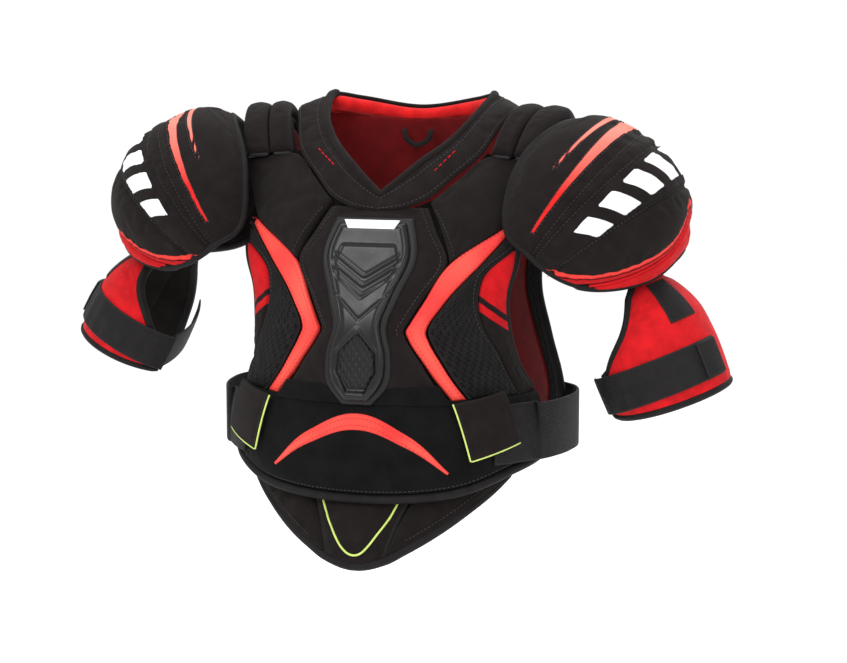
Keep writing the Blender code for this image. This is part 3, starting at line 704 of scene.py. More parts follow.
def swell_pads():
    """Blows the padded pieces up a little between their seams, all in one run of Cloth."""
    if not SWELL:
        return
    points, faces, held, first = [], [], [], 0
    for obj, fixed, _ in SWELL:
        mesh = obj.data
        co = np.empty(len(mesh.vertices) * 3)
        mesh.vertices.foreach_get("co", co)
        points.append(co.reshape(-1, 3))
        faces += [[first + index for index in face.vertices] for face in mesh.polygons]
        held.append(fixed)
        first += len(mesh.vertices)
    rest = np.concatenate(points)
    mesh = bpy.data.meshes.new("swelling")
    mesh.from_pydata(rest.tolist(), [], faces)
    trial = bpy.data.objects.new("swelling", mesh)
    bpy.context.scene.collection.objects.link(trial)
    pins = trial.vertex_groups.new(name="held")
    for level, chosen in enumerate(np.digitize(np.concatenate(held), np.linspace(0.05, 0.95, 10))):
        if chosen:
            pins.add([level], chosen / 10, "REPLACE")
    cloth = trial.modifiers.new("Cloth", "CLOTH")
    settings = cloth.settings
    settings.quality = 4
    settings.mass = 0.25
    settings.tension_stiffness = settings.compression_stiffness = 12
    settings.bending_stiffness = 0.4
    settings.use_pressure = True
    settings.uniform_pressure_force = 4
    settings.vertex_group_mass = "held"
    settings.shrink_min = -0.03
    settings.effector_weights.gravity = 0
    cloth.point_cache.frame_start, cloth.point_cache.frame_end = 1, 20
    scene = bpy.context.scene
    for step in range(1, 21):
        scene.frame_set(step)
    swollen = trial.evaluated_get(bpy.context.evaluated_depsgraph_get()).to_mesh()
    after = np.empty(len(rest) * 3)
    swollen.vertices.foreach_get("co", after)
    moved = after.reshape(-1, 3) - rest
    bpy.data.objects.remove(trial)
    scene.frame_set(1)
    first = 0
    for obj, fixed, most in SWELL:
        count = len(obj.data.vertices)
        own = moved[first : first + count] * (1 - fixed)[:, None]
        size = np.linalg.norm(own, axis=1, keepdims=True)
        cap = most * MM
        own *= cap * np.tanh(size / cap) / np.maximum(size, 1e-9)
        obj.data.vertices.foreach_set("co", (rest[first : first + count] + own).ravel())
        obj.data.update()
        first += count


def tube(name, points, radius, look, closed=False, flat=1.0, sides=12, spacing=3.0, face=None):
    """A round or flat cord, binding or piping along points in mm. face is the way its flat side looks."""
    points = np.asarray(points, float)
    if closed:
        points = np.vstack([points, points[:1]])
    step = np.concatenate([[0], np.cumsum(np.linalg.norm(np.diff(points, axis=0), axis=1))])
    total = step[-1]
    count = max(4, round(total / spacing))
    at = np.linspace(0, total, count + 1)
    taper = np.ones(count + 1)
    if closed:
        at, taper = at[:-1], taper[:-1]
    else:
        tips = radius * np.array((0, 0.15, 0.5, 1.0))
        at = np.concatenate([tips, at[(at > 1.2 * radius) & (at < total - 1.2 * radius)],
                             total - tips[::-1]])
        from_end = np.minimum(at, total - at) / radius
        taper = np.sqrt(np.clip(1 - (1 - np.clip(from_end, 0, 1)) ** 2, 0.02, 1))
    line = np.stack([np.interp(at, step, points[:, axis]) for axis in range(3)], -1)
    if closed:
        ahead = unit(np.roll(line, -1, axis=0) - np.roll(line, 1, axis=0))
    else:
        ahead = unit(np.gradient(line, axis=0))
    if face is None:
        normal = np.empty_like(line)
        current = np.cross(ahead[0], (0, 0, 1) if abs(ahead[0][2]) < 0.9 else (1, 0, 0))
        for index, way in enumerate(ahead):
            current = unit(current - way * (current @ way))
            normal[index] = current
    else:
        face = np.asarray(face, float)
        if face.ndim == 1:
            face = np.broadcast_to(face, points[:, :1].shape[:1] + (3,))
        elif closed:
            face = np.vstack([face, face[:1]])
        normal = np.stack([np.interp(at, step, face[:, axis]) for axis in range(3)], -1)
        normal = unit(normal - ahead * np.einsum("ij,ij->i", normal, ahead)[:, None])
    other = np.cross(ahead, normal)
    turn = np.linspace(0, 2 * math.pi, sides, endpoint=False)
    ring = normal[:, None] * (np.cos(turn) * flat)[:, None] + other[:, None] * np.sin(turn)[:, None]
    grid = line[:, None] + ring * (radius * taper)[:, None, None]
    rows = len(line)
    index = np.arange(rows * sides).reshape(rows, sides)
    index = np.hstack([index, index[:, :1]])
    if closed:
        index = np.vstack([index, index[:1]])
    faces = np.stack([index[:-1, :-1], index[:-1, 1:], index[1:, 1:], index[1:, :-1]], -1)
    faces = faces.reshape(-1, 4).tolist()
    if not closed:
        faces += [index[0, :-1].tolist()[::-1], index[-1, :-1].tolist()]
    lay = np.stack([np.tile(turn * radius, rows), np.repeat(at, sides), np.full(rows * sides, 50.0)], -1)
    return mesh_object(name, grid.reshape(-1, 3), faces, look, lay)


def surface_of(obj):
    """The finished surface of a piece, for laying things on it."""
    graph = bpy.context.evaluated_depsgraph_get()
    return BVHTree.FromObject(obj, graph)


def laid_on(tree, points, normals, lift):
    """Points dropped along their normals onto a surface and raised by lift, in mm."""
    normals = unit(normals)
    made = []
    for point, normal in zip(points, normals, strict=True):
        hit = tree.ray_cast(Vector((point + normal * 25) * MM), Vector(-normal), 0.045)[0]
        base = point if hit is None else np.array(hit) / MM
        made.append(base + normal * lift)
    return np.array(made)


def stitches(name, points, normals, pitch=4.2, size=2.6, radius=0.42, look="thread"):
    """A row of separate stitches, each a small capsule lying along the line."""
    step = np.concatenate([[0], np.cumsum(np.linalg.norm(np.diff(points, axis=0), axis=1))])
    starts = np.arange(pitch / 2, step[-1] - pitch / 2, pitch)
    if not len(starts):
        return None

    def at(values, where):
        return np.stack([np.interp(where, step, values[:, axis]) for axis in range(3)], -1)

    middle, normal = at(points, starts), unit(at(np.asarray(normals, float), starts))
    ahead = unit(at(points, starts + 0.5) - at(points, starts - 0.5))
    other = np.cross(ahead, normal)
    turn = np.linspace(0, 2 * math.pi, 6, endpoint=False)
    rings = ((-0.5, 0.25), (-0.36, 0.9), (0.36, 0.9), (0.5, 0.25))
    ring = normal[:, None] * np.cos(turn)[:, None] + other[:, None] * np.sin(turn)[:, None]
    middle, ahead = middle[:, None], ahead[:, None]
    grid = np.stack([middle + ahead * size * reach + ring * radius * share for reach, share in rings], 1)
    one = []
    for low in (0, 6, 12):
        for k in range(6):
            after = (k + 1) % 6
            one.append([low + k, low + after, low + 6 + after, low + 6 + k])
    ends = [[5, 4, 3, 2, 1, 0], [18, 19, 20, 21, 22, 23]]
    faces = [[24 * n + index for index in face] for n in range(len(starts)) for face in one + ends]
    flat = grid.reshape(-1, 3)
    lay = np.stack([np.zeros(len(flat)), np.arange(len(flat)) % 24 / 6.0, np.full(len(flat), 50.0)], -1)
    return mesh_object(name, flat, faces, look, lay)


def polygon_depth(points, corners):
    """Signed distance of 2-D points to a polygon, positive inside it."""
    corners = np.asarray(corners, float)
    nearby = np.full(len(points), np.inf)
    inside = np.zeros(len(points), bool)
    for a, b in zip(corners, np.roll(corners, -1, axis=0), strict=True):
        along = b - a
        share = np.clip(((points - a) @ along) / (along @ along), 0, 1)
        nearby = np.minimum(nearby, np.linalg.norm(points - a - share[:, None] * along, axis=1))
        crosses = (a[1] > points[:, 1]) != (b[1] > points[:, 1])
        rise = b[1] - a[1] if b[1] != a[1] else 1e-9
        inside ^= crosses & (points[:, 0] < a[0] + (points[:, 1] - a[1]) / rise * along[0])
    return np.where(inside, nearby, -nearby)


def ready(obj, body, slot, *nodes, padded=None):
    """Gives a finished piece its body and hides the solids it stands for. Its slot and its fill are not
    used.
    """
    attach(obj, body)
    if nodes:
        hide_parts(*nodes)
    return obj


LATER = []


def hold(obj, body, slot, *nodes, padded=None):
    """Notes a piece to be made ready once the cloth simulation is over."""
    LATER.append((obj, body, slot, nodes, padded))
    return obj


def bind(name, line, radius, body, *nodes, **shape):
    """A binding tape round an edge."""
    hold(tube(name, line, radius, "binding", **shape), body, "edge_binding", *nodes)


# ---------------------------------------------------------------- padded pieces


def raised(surface, points, side=1, extra=6.0):
    """A line on a torso surface and the way out of it."""
    base = trace(surface, points, side)
    return base, trace(surface, points, side, extra) - base


# Edges of the chest's pieces as (x, height) from the top down. The chevron's legs run nearly straight
# between its top, its apex and its foot, with a point on each side of the apex to keep it sharp.
CHEVRON_IN = outline(FRONT, (128, -62), (77, -98), (57, -133), (45.5, -154), (42, -161), (45, -168),
                     (62, -193), (88, -227))
CHEVRON_OUT = outline(FRONT, (134, -67), (100, -109), (76, -139), (65.5, -156), (64, -162), (67, -170),
                      (80, -193), (103, -226))
VENT_OUT = outline(FRONT, (138, -84), (112, -108), (107, -128), (112, -158), (126, -190), (142, -226))
ARMHOLE = spline([(50, -84), (58, -121), (66, -160), (75, -194), (84, -226)])
CORE_EDGE = outline(FRONT, (49, -47), (62, -71), (75.5, -98), (56, -133), (44.5, -154), (41, -161),
                    (44, -168), (61, -194), (86, -230))
HEM = spline([(-86, -289), (-62, -297), (-30, -317), (0, -323), (30, -317), (62, -297), (86, -289)])
PADS = {}


def make_pad(name, place, look, low, high, body, slot, fill=0.6, **shape):
    """A pad that stands for the solid of the same name. Its fill is not used."""
    PADS[name] = pad(name, place, look, low, high, **shape)
    hold(PADS[name], body, slot, name, padded=fill)


def ridge(value, middle, width):
    """1 at the middle, falling away to either side within about the width."""
    return np.exp(-(((value - middle) / width) ** 2))


def quilted(pitch, depth):
    """Relief of a diamond quilting with the given pitch."""

    def relief(flat, lay, edge):
        turn = math.pi / pitch
        first = np.abs(np.sin((lay[:, 0] + lay[:, 1]) * turn))
        second = np.abs(np.sin((lay[:, 0] - lay[:, 1]) * turn))
        return depth * (np.minimum(first, second) ** 0.5 - 0.6) * np.clip(edge / 8, 0, 1)

    return relief


def make_chest():
    core = between(mirrored(CORE_EDGE), CORE_EDGE)
    half = [(118, -8), (98, 2), (75, -14), (50, -36)]
    top = outline(FRONT, *[(-x, z) for x, z in half], (0, -50), *half[::-1])
    flank = spline([top(1.0), (49, -84), (56, -121), (64, -160), (73, -194), (82, -226), (85, -280)])
    scrim = coons(straight((-85, -280), (85, -280)), top, reverse(mirrored(flank)), reverse(flank))
    hold(pad("chest_scrim", on(FRONT, scrim), "knit", -FOAM - 0.8, -FOAM + 1.4, lip=1.1, spacing=6.0),
         "torso", "charcoal_knit")
    band = between(outline(FRONT, (-88, -231), (-76, -213)), outline(FRONT, (88, -231), (76, -213)))
    hold(pad("chest_loop_band", on(FRONT, band), "loop", -3.0, 2.4, lip=1.6, spacing=4.0), "torso",
         "brushed_loop")
    make_pad("chest_core", on(FRONT, core), "knit", -FOAM, 0, "torso", "charcoal_knit", crown=1.5,
             swell=2.0)
    for label, side in SIDES:
        upper = coons(
            outline(FRONT, (78, -98), (129, -62)),
            outline(FRONT, (50, -42), (75, -19), (98, 0), (150, -6)),
            outline(FRONT, (78, -98), (50, -42)),
            outline(FRONT, (129, -62), (150, -6)),
        )
        make_pad(f"chest_upper_pad_{label}", on(FRONT, upper, side), "knit", -FOAM, 0, "torso",
                 "charcoal_knit",
                 crown=2.0, swell=3.0)
        inlay = between(shifted(CHEVRON_IN, 0.6, -0.6), shifted(CHEVRON_OUT, -0.5, -0.6))
        make_pad(f"chest_inlay_{label}", on(FRONT, inlay, side), "coral", -FOAM + 3, -1, "torso",
                 "coral_cloth",
                 spacing=3.0, lip=3.0, crown=0.6)
        vented = between(shifted(CHEVRON_OUT, 0.4), shifted(VENT_OUT, -0.4))
        make_pad(f"chest_vent_pad_{label}", on(FRONT, vented, side), "vented", -FOAM, 0, "torso",
                 "vented_cloth",
                 crown=2.2, swell=3.0, spacing=3.5)

        def wing_mark(u, v, flat, edge):
            # The red wedge lies above a line that falls outwards at 45 degrees from the vented pad's waist.
            edge_of_vent = guide_points(FRONT, VENT_OUT, count=90)
            waist = edge_of_vent[np.argmin(edge_of_vent[:, 0])]
            out, up = np.abs(flat[:, 0]) - waist[0], flat[:, 2] - waist[2]
            outer = guide_points(FRONT, ARMHOLE, side, -6.0, 200)
            return np.stack([(out + up) / math.sqrt(2), nearest(flat, outer), edge], -1)

        wing = between(shifted(VENT_OUT, 0.4), ARMHOLE)
        make_pad(f"chest_wing_{label}", on(FRONT, wing, side), "wing_cloth", -FOAM, 0, "torso",
                 "red_cloth",
                 crown=1.2, swell=2.0, spacing=1.6, mark=wing_mark, lip=4.5)
    low = coons(
        spline([(-86, -284), (-62, -292), (-30, -312), (0, -318), (30, -312), (62, -292), (86, -284)]),
        straight((-86, -226), (86, -226)),
        straight((-86, -284), (-86, -226)),
        straight((86, -284), (86, -226)),
    )
    make_pad("belly_panel", on(FRONT, low), "loop", -FOAM, 0, "torso", "brushed_loop", swell=1.5,
             crown=0.8)
    liner = coons(
        straight((-80, -272), (80, -272)),
        straight((-44, -72), (44, -72)),
        spline([(-80, -272), (-72, -190), (-52, -110), (-44, -72)]),
        spline([(80, -272), (72, -190), (52, -110), (44, -72)]),
    )
    under = -FOAM - SKIN_GAP - 0.5
    make_pad("chest_liner", on(FRONT, liner), "lining", under - LINER, under, "torso", "dark_red_lining",
             lip=2.5, relief=quilted(34, 0.7))


def make_back():
    core_edge = outline(BACK, (50, 12), (58, -60), (46, -150), (52, -230), (60, -296))
    side_in = outline(BACK, (52.5, 12), (60.5, -60), (48.5, -150), (54.5, -230), (62.5, -295))
    side_top = outline(BACK, (52.5, 12), (78, 13), (98, 8), (120, -15), (163, -24))
    side_foot = straight(side_in(1.0), (68, -290))
    side_out = spline([side_top(1.0), (56, -64), (58, -120), (66, -180), (70, -236), (68, -290)])
    side_pad = coons(side_foot, side_top, reverse(side_in), reverse(side_out))
    sample, deep = np.linspace(0, 1, 60), np.full(60, -6.0)
    level_line = on(BACK, lambda a, b: np.stack([b * 70 - 35, a], -1))
    across = [level_line(np.full(60, z), sample, deep) for z in (-78.0, -168.0, -246.0)]
    core_channels = [(line, 3.2, 3.0) for line in across]
    scrim = coons(
        straight((-66, -286), (66, -286)),
        outline(BACK, (-78, 20), (-40, 28), (0, 28), (40, 28), (78, 20)),
        spline([(-66, -286), (-66, -230), (-56, -130), (-50, -50),
                (BACK.angle_of(np.array(-78.0), 20.0), 20)]),
        spline([(66, -286), (66, -230), (56, -130), (50, -50),
                (BACK.angle_of(np.array(78.0), 20.0), 20)]),
    )
    hold(pad("back_scrim", on(BACK, scrim), "knit", -FOAM - 0.8, -FOAM + 1.4, lip=1.1, spacing=6.0),
         "torso", "charcoal_knit")
    make_pad("back_core", on(BACK, between(mirrored(core_edge), core_edge)), "knit", -FOAM, 0, "torso",
             "charcoal_knit", crown=2.0, channels=core_channels, swell=2.5)
    for label, side in SIDES:
        lines = []
        for z in (-62.0, -132.0, -206.0):
            reach = np.linspace(14, 70, 60)
            lines.append((BACK(reach, z + 0 * reach, np.full(60, -6.0)) * (side, 1, 1), 3.0, 3.0))
        make_pad(f"back_side_pad_{label}", on(BACK, side_pad, side), "vented", -FOAM, 0, "torso",
                 "vented_cloth",
                 crown=2.0, channels=lines, swell=2.5)
        rim = guide_points(BACK, side_out, side, -5.5, 120)
        bind(f"back_side_binding_{label}", rim, 6.0, "torso", flat=0.75)
    under = -FOAM - SKIN_GAP
    liner = coons(
        straight((-62, -284), (62, -284)),
        spline([(-42, 40), (-20, 34), (0, 32), (20, 34), (42, 40)]),
        spline([(-62, -284), (-64, -230), (-54, -130), (-48, -50), (-42, 40)]),
        spline([(62, -284), (64, -230), (54, -130), (48, -50), (42, 40)]),
    )
    make_pad("back_liner", on(BACK, liner), "lining", under - LINER, under, "torso", "dark_red_lining",
             lip=2.5, spacing=4.0, relief=quilted(34, 0.9))
    hem = spline([(-68, -295), (-22, -300), (0, -301), (22, -300), (68, -295)])
    bind("back_hem", guide_points(BACK, hem, 1, -FOAM / 2, 80), 5.2, "torso", "back_hem_binding")


def strip_over(side, x_in, x_out, start, end):
    """A strip over the shoulder, from the front over the top to the back."""

    def place(u, v, offset):
        return arch_point(x_in + (x_out - x_in) * u, start + (end - start) * v, offset) * (side, 1, 1)

    return place


def make_shoulders():
    for label, side in SIDES:
        make_pad(f"shoulder_arch_{label}", strip_over(side, 96, 146, 4, 163), "knit", -ARCH_THICK, 0,
                 "torso",
                 "charcoal_knit", lip=4.0)
        low, high = SKIN_GAP, SKIN_GAP + BRIDGE_THICK
        for which, x_in, x_out in (("inner", 97, 119.4), ("outer", 120.2, 145)):
            name = f"bridge_pad_{which}_{label}"
            make_pad(name, strip_over(side, x_in, x_out, 20, 140), "knit", low, high, "torso",
                     "charcoal_knit",
                     crown=0.6, lip=5.0, swell=2.0, spacing=3.0)
            rim = strip_over(side, x_in + 1.5, x_out - 1.5, 19, 19)(
                np.linspace(0, 1, 30), np.zeros(30), np.full(30, low + BRIDGE_THICK * 0.45))
            hold(tube(f"bridge_rim_{which}_{label}", rim, 2.6, "rubber"), "torso", "grey_rubber")
        rest_top = ARCH_RISE - ARCH_THICK - SKIN_GAP

        def rest(u, v, offset):
            reach = 28 * np.cos(math.pi * v)
            top = -22 + rest_top * np.sqrt(1 - (reach / 32) ** 2)
            x = (118 + 30 * u) * side
            return np.stack([x, ARCH_MIDDLE - reach, -2 + (top + 2) * offset / 10], -1)

        make_pad(f"shoulder_rest_{label}", rest, "lining", 0, 10, "torso", "dark_red_lining", lip=3.0,
                 spacing=5.0)


def collar_edges():
    on_chest = [(0, -54), (26, -51), (47, -43), (72, -21), (93, -1)]
    outer = [FRONT(FRONT.angle_of(np.array(float(x)), float(z)), float(z)) for x, z in on_chest]
    outer += [np.array(p, float) for p in ((107, 12, 28), (116, 40, 40), (112, 74, 34), (78, 104, 20),
                                           (0, 112, 15))]
    inner = (
        (0, -50, -40), (20, -43, -23), (37, -34, -8), (60, -13, 11), (75, 8, 30), (82, 32, 44),
        (84, 62, 55),
        (62, 84, 51), (0, 93, 42),
    )
    inner = [np.array(p, float) for p in inner]
    flip = np.array([-1, 1, 1])
    return [spline([*half, *[p * flip for p in half[-2:0:-1]], half[0]]) for half in (inner, outer)]


COLLAR_IN, COLLAR_OUT = collar_edges()


def collar_place(u, v, offset):
    def bare(a, b):
        low, high = COLLAR_OUT(a % 1), COLLAR_IN(a % 1)
        return low + (high - low) * (0.03 + 0.97 * b)[:, None] + np.array((0, 0, 0.5))

    step = 0.004
    along = bare(u + step, v) - bare(u - step, v)
    up = bare(u, np.minimum(v + 0.05, 1)) - bare(u, np.maximum(v - 0.05, 0))
    return bare(u, v) + unit(np.cross(along, up)) * offset[:, None]


def make_collar():
    make_pad("collar_band", collar_place, "knit", -3, 3, "torso", "charcoal_knit", around=True, lip=3.5,
             crown=1.6, swell=2.0, spacing=3.5)
    facing = pad("collar_facing", lambda u, v,
                 offset: collar_place(0.3 + 0.4 * u, 0.1 + 0.86 * v, offset), "bright_lining",
                 -5.2, -2.6, lip=1.3, spacing=4.0)
    hold(facing, "torso", "red_cloth")
    dashes = {"right": (0.845, 0.9), "left": (0.1, 0.155)}
    for label, ends in dashes.items():
        t = np.linspace(*ends, 60)
        base = collar_place(t, np.linspace(0.5, 0.62, 60), np.full(60, 5.1))
        way = collar_place(t, np.linspace(0.5, 0.62, 60), np.full(60, 8.0)) - base
        hold(stitches(f"collar_dashes_{label}", base, way, 6.4, 4.6, 0.7, "red"), "torso", "red_cloth")
    around = np.linspace(0, 1, 240, endpoint=False)
    ones, zeros = np.ones(240), np.zeros(240)
    rolled = collar_place(around, ones, zeros)
    hold(tube("collar_top_edge", rolled, 2.3, "knit", closed=True), "torso", "charcoal_knit")
    front = np.linspace(-0.34, 0.34, 200)
    rolled = collar_place(front, np.ones(200), np.full(200, 0.6))
    hold(tube("collar_rolled_edge", rolled, 4.6, "knit"), "torso", "charcoal_knit")
    t = np.linspace(0.33, 0.67, 60)
    roll = COLLAR_IN(t) + np.array((0, -5.5, -8.5))
    hold(tube("collar_inner_roll", roll, 7.5, "bright_lining"), "torso", "red_cloth", "collar_roll",
         padded=0.6)
    loop = [(-14, 96.5, 17), (-13, 95, 8), (-6, 94, 2), (0, 93.5, 0), (6, 94, 2), (13, 95, 8),
            (14, 96.5, 17)]
    line = spline([(x, y - 20, z + 4) for x, y, z in loop])(np.linspace(0, 1, 60))
    hold(tube("hang_loop_tape", line, 2.6, "webbing", flat=0.4, face=(0, -1, 0)), "torso",
         "black_webbing", "hang_loop")


# The caps' markings, the same on both and placed by shares of the cap's own reach from its pole.
# p is in degrees outwards and q in degrees forwards.
OUTER, AHEAD, INNER = REACH(np.radians((0.0, 90.0, 180.0)))
MARK_BACK = -AHEAD / 5
STRIPE_LEAN = -INNER / 4
STRIPE_TAPER = 0.7  # share of its width that a stripe loses on its way to the tip
# Each stripe: its middle, its half width at the back and its tip.
STRIPES = ((-INNER / 5, INNER / 10, AHEAD * 5 / 6), (-INNER * 2 / 5, INNER / 20, AHEAD / 2))
# Each groove: its place beside the pole and its place at the front rim.
GROOVES = ((0.0, -INNER / 4), (OUTER / 8, -INNER / 8), (OUTER / 2, OUTER / 3))
BAR_COUNT = 5
BAR_PITCH = AHEAD / (BAR_COUNT + 1)
BAR_WIDTH = BAR_PITCH * 3 / 5
BAR_SPAN = (OUTER / 6, OUTER * 5 / 12)
BAR_SLANT = BAR_PITCH / 2
RED_WIDTH = OUTER * 2 / 5
RED_REACH = math.pi / 2


def stripe_depth(p, q, middle, half, tip):
    """Depth in mm inside a stripe that tapers from its back end to its tip."""
    run = np.clip((q - MARK_BACK) / (tip - MARK_BACK), 0, 1)
    inside = half * (1 - STRIPE_TAPER * run) - np.abs(p - middle - STRIPE_LEAN * run**2)
    return CAP_DEGREE * np.minimum(inside, tip - q)


def stripe_outline(middle, half, tip):
    run = np.linspace(0, 1, 40)
    q, centre = MARK_BACK + run * (tip - MARK_BACK), middle + STRIPE_LEAN * run**2
    reach = half * (1 - STRIPE_TAPER * run) + 0.8
    return np.concatenate([np.stack([centre - reach, q], -1), np.stack([centre + reach, q], -1)[::-1]])


def bar_depth(p, q):
    """Depth in mm inside a row of slanted bars that starts beside the pole."""
    low, high = BAR_SPAN
    slanted = q + BAR_SLANT * (p - low) / (high - low)
    nearest_bar = np.clip(np.round(slanted / BAR_PITCH), 0, BAR_COUNT - 1)
    across = BAR_WIDTH / 2 - np.abs(slanted - nearest_bar * BAR_PITCH)
    return CAP_DEGREE * np.minimum(across, np.minimum(p - low, high - p))


def red_depth(p, q):
    """Depth in mm inside the red lower edge, which narrows to nothing towards the front and back."""
    heading = np.arctan2(q, p)
    width = RED_WIDTH * np.cos(np.minimum(np.abs(heading) / RED_REACH, 1) * math.pi / 2)
    return CAP_DEGREE * (np.hypot(p, q) - REACH(heading) + width)


def groove_line(beside, front):
    q = np.linspace(MARK_BACK, AHEAD, 9)
    return np.stack([beside + (front - beside) * np.clip(q / AHEAD, 0, 1) ** 2, q], -1)


CAPS = {label: cap_surface(label, side) for label, side in SIDES}
ARMS = {label: arm_surface(label, side) for label, side in SIDES}


def cap_line(label, points, offset, count=90):
    p, q = spline(points)(np.linspace(0, 1, count)).T
    return CAPS[label](p, q, np.full(count, offset))


def make_caps():
    for label, side in SIDES:
        body, surface = f"cap_{label}", CAPS[label]

        def marks(u, v, flat, edge):
            p, q = cap_position(u, v).T
            stripe = np.maximum(*(stripe_depth(p, q, *shape) for shape in STRIPES))
            return np.stack([stripe, bar_depth(p, q), red_depth(p, q)], -1)

        grooves = [(cap_line(label, groove_line(*ends), -6), 3.4, 2.6) for ends in GROOVES]
        make_pad(f"cap_pad_{label}", cap_patch(surface, 0), "cap_cloth", -CAP_THICK, 0, body,
                 "charcoal_knit",
                 crown=2.5, channels=grooves, swell=3.0, spacing=2.1, lip=6.0, mark=marks, fine=0,
                 under="knit")

        def border(u, v, offset):
            heading = (2 * v - 1) * 0.96
            inner = REACH(heading) - border_width(heading)
            far = inner + (REACH(heading) - inner) * u
            return surface(far * np.cos(heading), far * np.sin(heading), offset)

        def border_mark(u, v, flat, edge):
            heading = (2 * v - 1) * 0.96
            far = REACH(heading) - border_width(heading) * (1 - u)
            depth = red_depth(far * np.cos(heading), far * np.sin(heading))
            return np.stack([depth, depth, depth], -1)

        make_pad(f"cap_border_{label}", border, "border_cloth", -CAP_THICK, 0, body, "red_cloth",
                 crown=1.0,
                 swell=1.5, spacing=1.8, lip=4.0, mark=border_mark, fine=0, under="knit")
        lined = cap_patch(surface, 10)
        deep = -CAP_THICK - SKIN_GAP - 4
        make_pad(f"cap_insert_{label}", lined, "knit", deep - 1.5, deep + 2.5, body, "charcoal_knit",
                 lip=3.0, spacing=6.0)
        heading = np.linspace(0, 2 * math.pi, 240, endpoint=False)
        far = REACH(heading) - np.where(border_width(heading) > 0.3, 1.0, 2.2)
        rim = surface(far * np.cos(heading), far * np.sin(heading), np.full(240, 1 - CAP_THICK / 2))
        outwards = surface(far * np.cos(heading), far * np.sin(heading), np.full(240, 4.0)) - rim
        bind(f"cap_rim_binding_{label}", rim, 4.2, body, closed=True, flat=1.3, face=outwards)
        heading = np.linspace(-0.93, 0.93, 120)
        far = REACH(heading) - border_width(heading) - 0.8
        seam = surface(far * np.cos(heading), far * np.sin(heading), np.full(120, -2.4))
        hold(tube(f"cap_seam_cord_{label}", seam, 1.5, "red"), body, "red_cloth")


def sleeve(label):
    front_edge = level_table(ARM_FRONT_EDGE)

    def place(u, v, offset):
        low = ARM_BOTTOM + 10 * (2 * u - 1) ** 2
        high = ARM_TOP - 26 * (2 * u - 1) ** 4
        height = low + (high - low) * v
        front = front_edge(height)[..., 0]
        back = 180 - (height + 100) * 0.12
        return ARMS[label](front + (back - front) * u, height, offset)

    return place


def make_arms():
    for label, side in SIDES:
        body, place = f"arm_{label}", sleeve(label)
        make_pad(f"arm_guard_{label}", place, "red", -ARM_THICK, 0, body, "red_cloth", crown=0.8,
                 swell=1.2,
                 lip=4.0, under="knit", spacing=3.5)
        sample, zero, one = np.linspace(0, 1, 80), np.zeros(80), np.ones(80)
        half = np.full(80, -ARM_THICK / 2)
        corners = ((zero, sample), (sample, one), (one, sample[::-1]), (sample[::-1], zero))
        rim = np.concatenate([place(u, v, half)[:-1] for u, v in corners])
        outer = np.concatenate([place(u, v, half + 6)[:-1] for u, v in corners])
        bind(f"arm_rim_binding_{label}", rim, 4.2, body, closed=True, flat=1.2, face=outer - rim)
        inside = -ARM_THICK - SKIN_GAP - 2.5

        def strip(front, back, low, high):
            def at(u, v, offset):
                return ARMS[label](front + (back - front) * u, low + (high - low) * v, offset)

            return at

        make_pad(f"arm_insert_{label}", strip(36, 146, -148, -76), "knit", inside - 1.5, inside + 1.5,
                 body,
                 "charcoal_knit", lip=2.5, spacing=5.0)

        def closing(u, v, offset):
            height = ARM_STRAP_LOW + 22 * (1 - u) + ARM_STRAP_WIDTH * v
            rear, front = (ARMS[label](turn, height, offset - ARM_THICK / 2) for turn in (197, 296))
            curved = ARMS[label](197 + 99 * u, height, offset - ARM_THICK / 2)
            return curved * 0.35 + (rear + (front - rear) * u[:, None]) * 0.65

        make_pad(f"arm_elastic_{label}", closing, "webbing", -1.3, 1.3, body, "black_webbing", None,
                 lip=1.3, spacing=4.0)
        neck = ARM_NECK[label]
        make_pad(f"arm_hanger_{label}", strip(50, 82, neck - 116, neck - 74), "webbing", 1.0, 3.0, body,
                 "black_webbing", None, lip=1.0)

        over = SKIN_GAP
        strap_high = ARM_STRAP_LOW + ARM_STRAP_WIDTH
        make_pad(f"arm_strap_{label}", strip(*ARM_STRAP_TURNS, ARM_STRAP_LOW, strap_high), "webbing",
                 over + 0.6, over + 3.4, f"arm_strap_{label}", "black_webbing", None, lip=1.4,
                 spacing=3.0,
                 relief=lambda flat, lay, edge: 0.5 * np.cos(lay[:, 0] * 0.35) * np.clip(edge / 5, 0, 1))
        radius = ARM_RADIUS(np.array([ARM_STRAP_LOW - neck]))[0, 0]
        tab_end = ARM_STRAP_TURNS[1] - 2
        tab_start = tab_end - math.degrees(ARM_TAB / radius)
        tab = pad(f"arm_strap_tab_{label}",
                  strip(tab_start, tab_end, ARM_STRAP_LOW + 1.5, strap_high - 1.5), "webbing",
                  over + 3.5, over + 5.8, lip=1.2, spacing=3.0)
        hold(tab, f"arm_strap_{label}", "black_webbing")


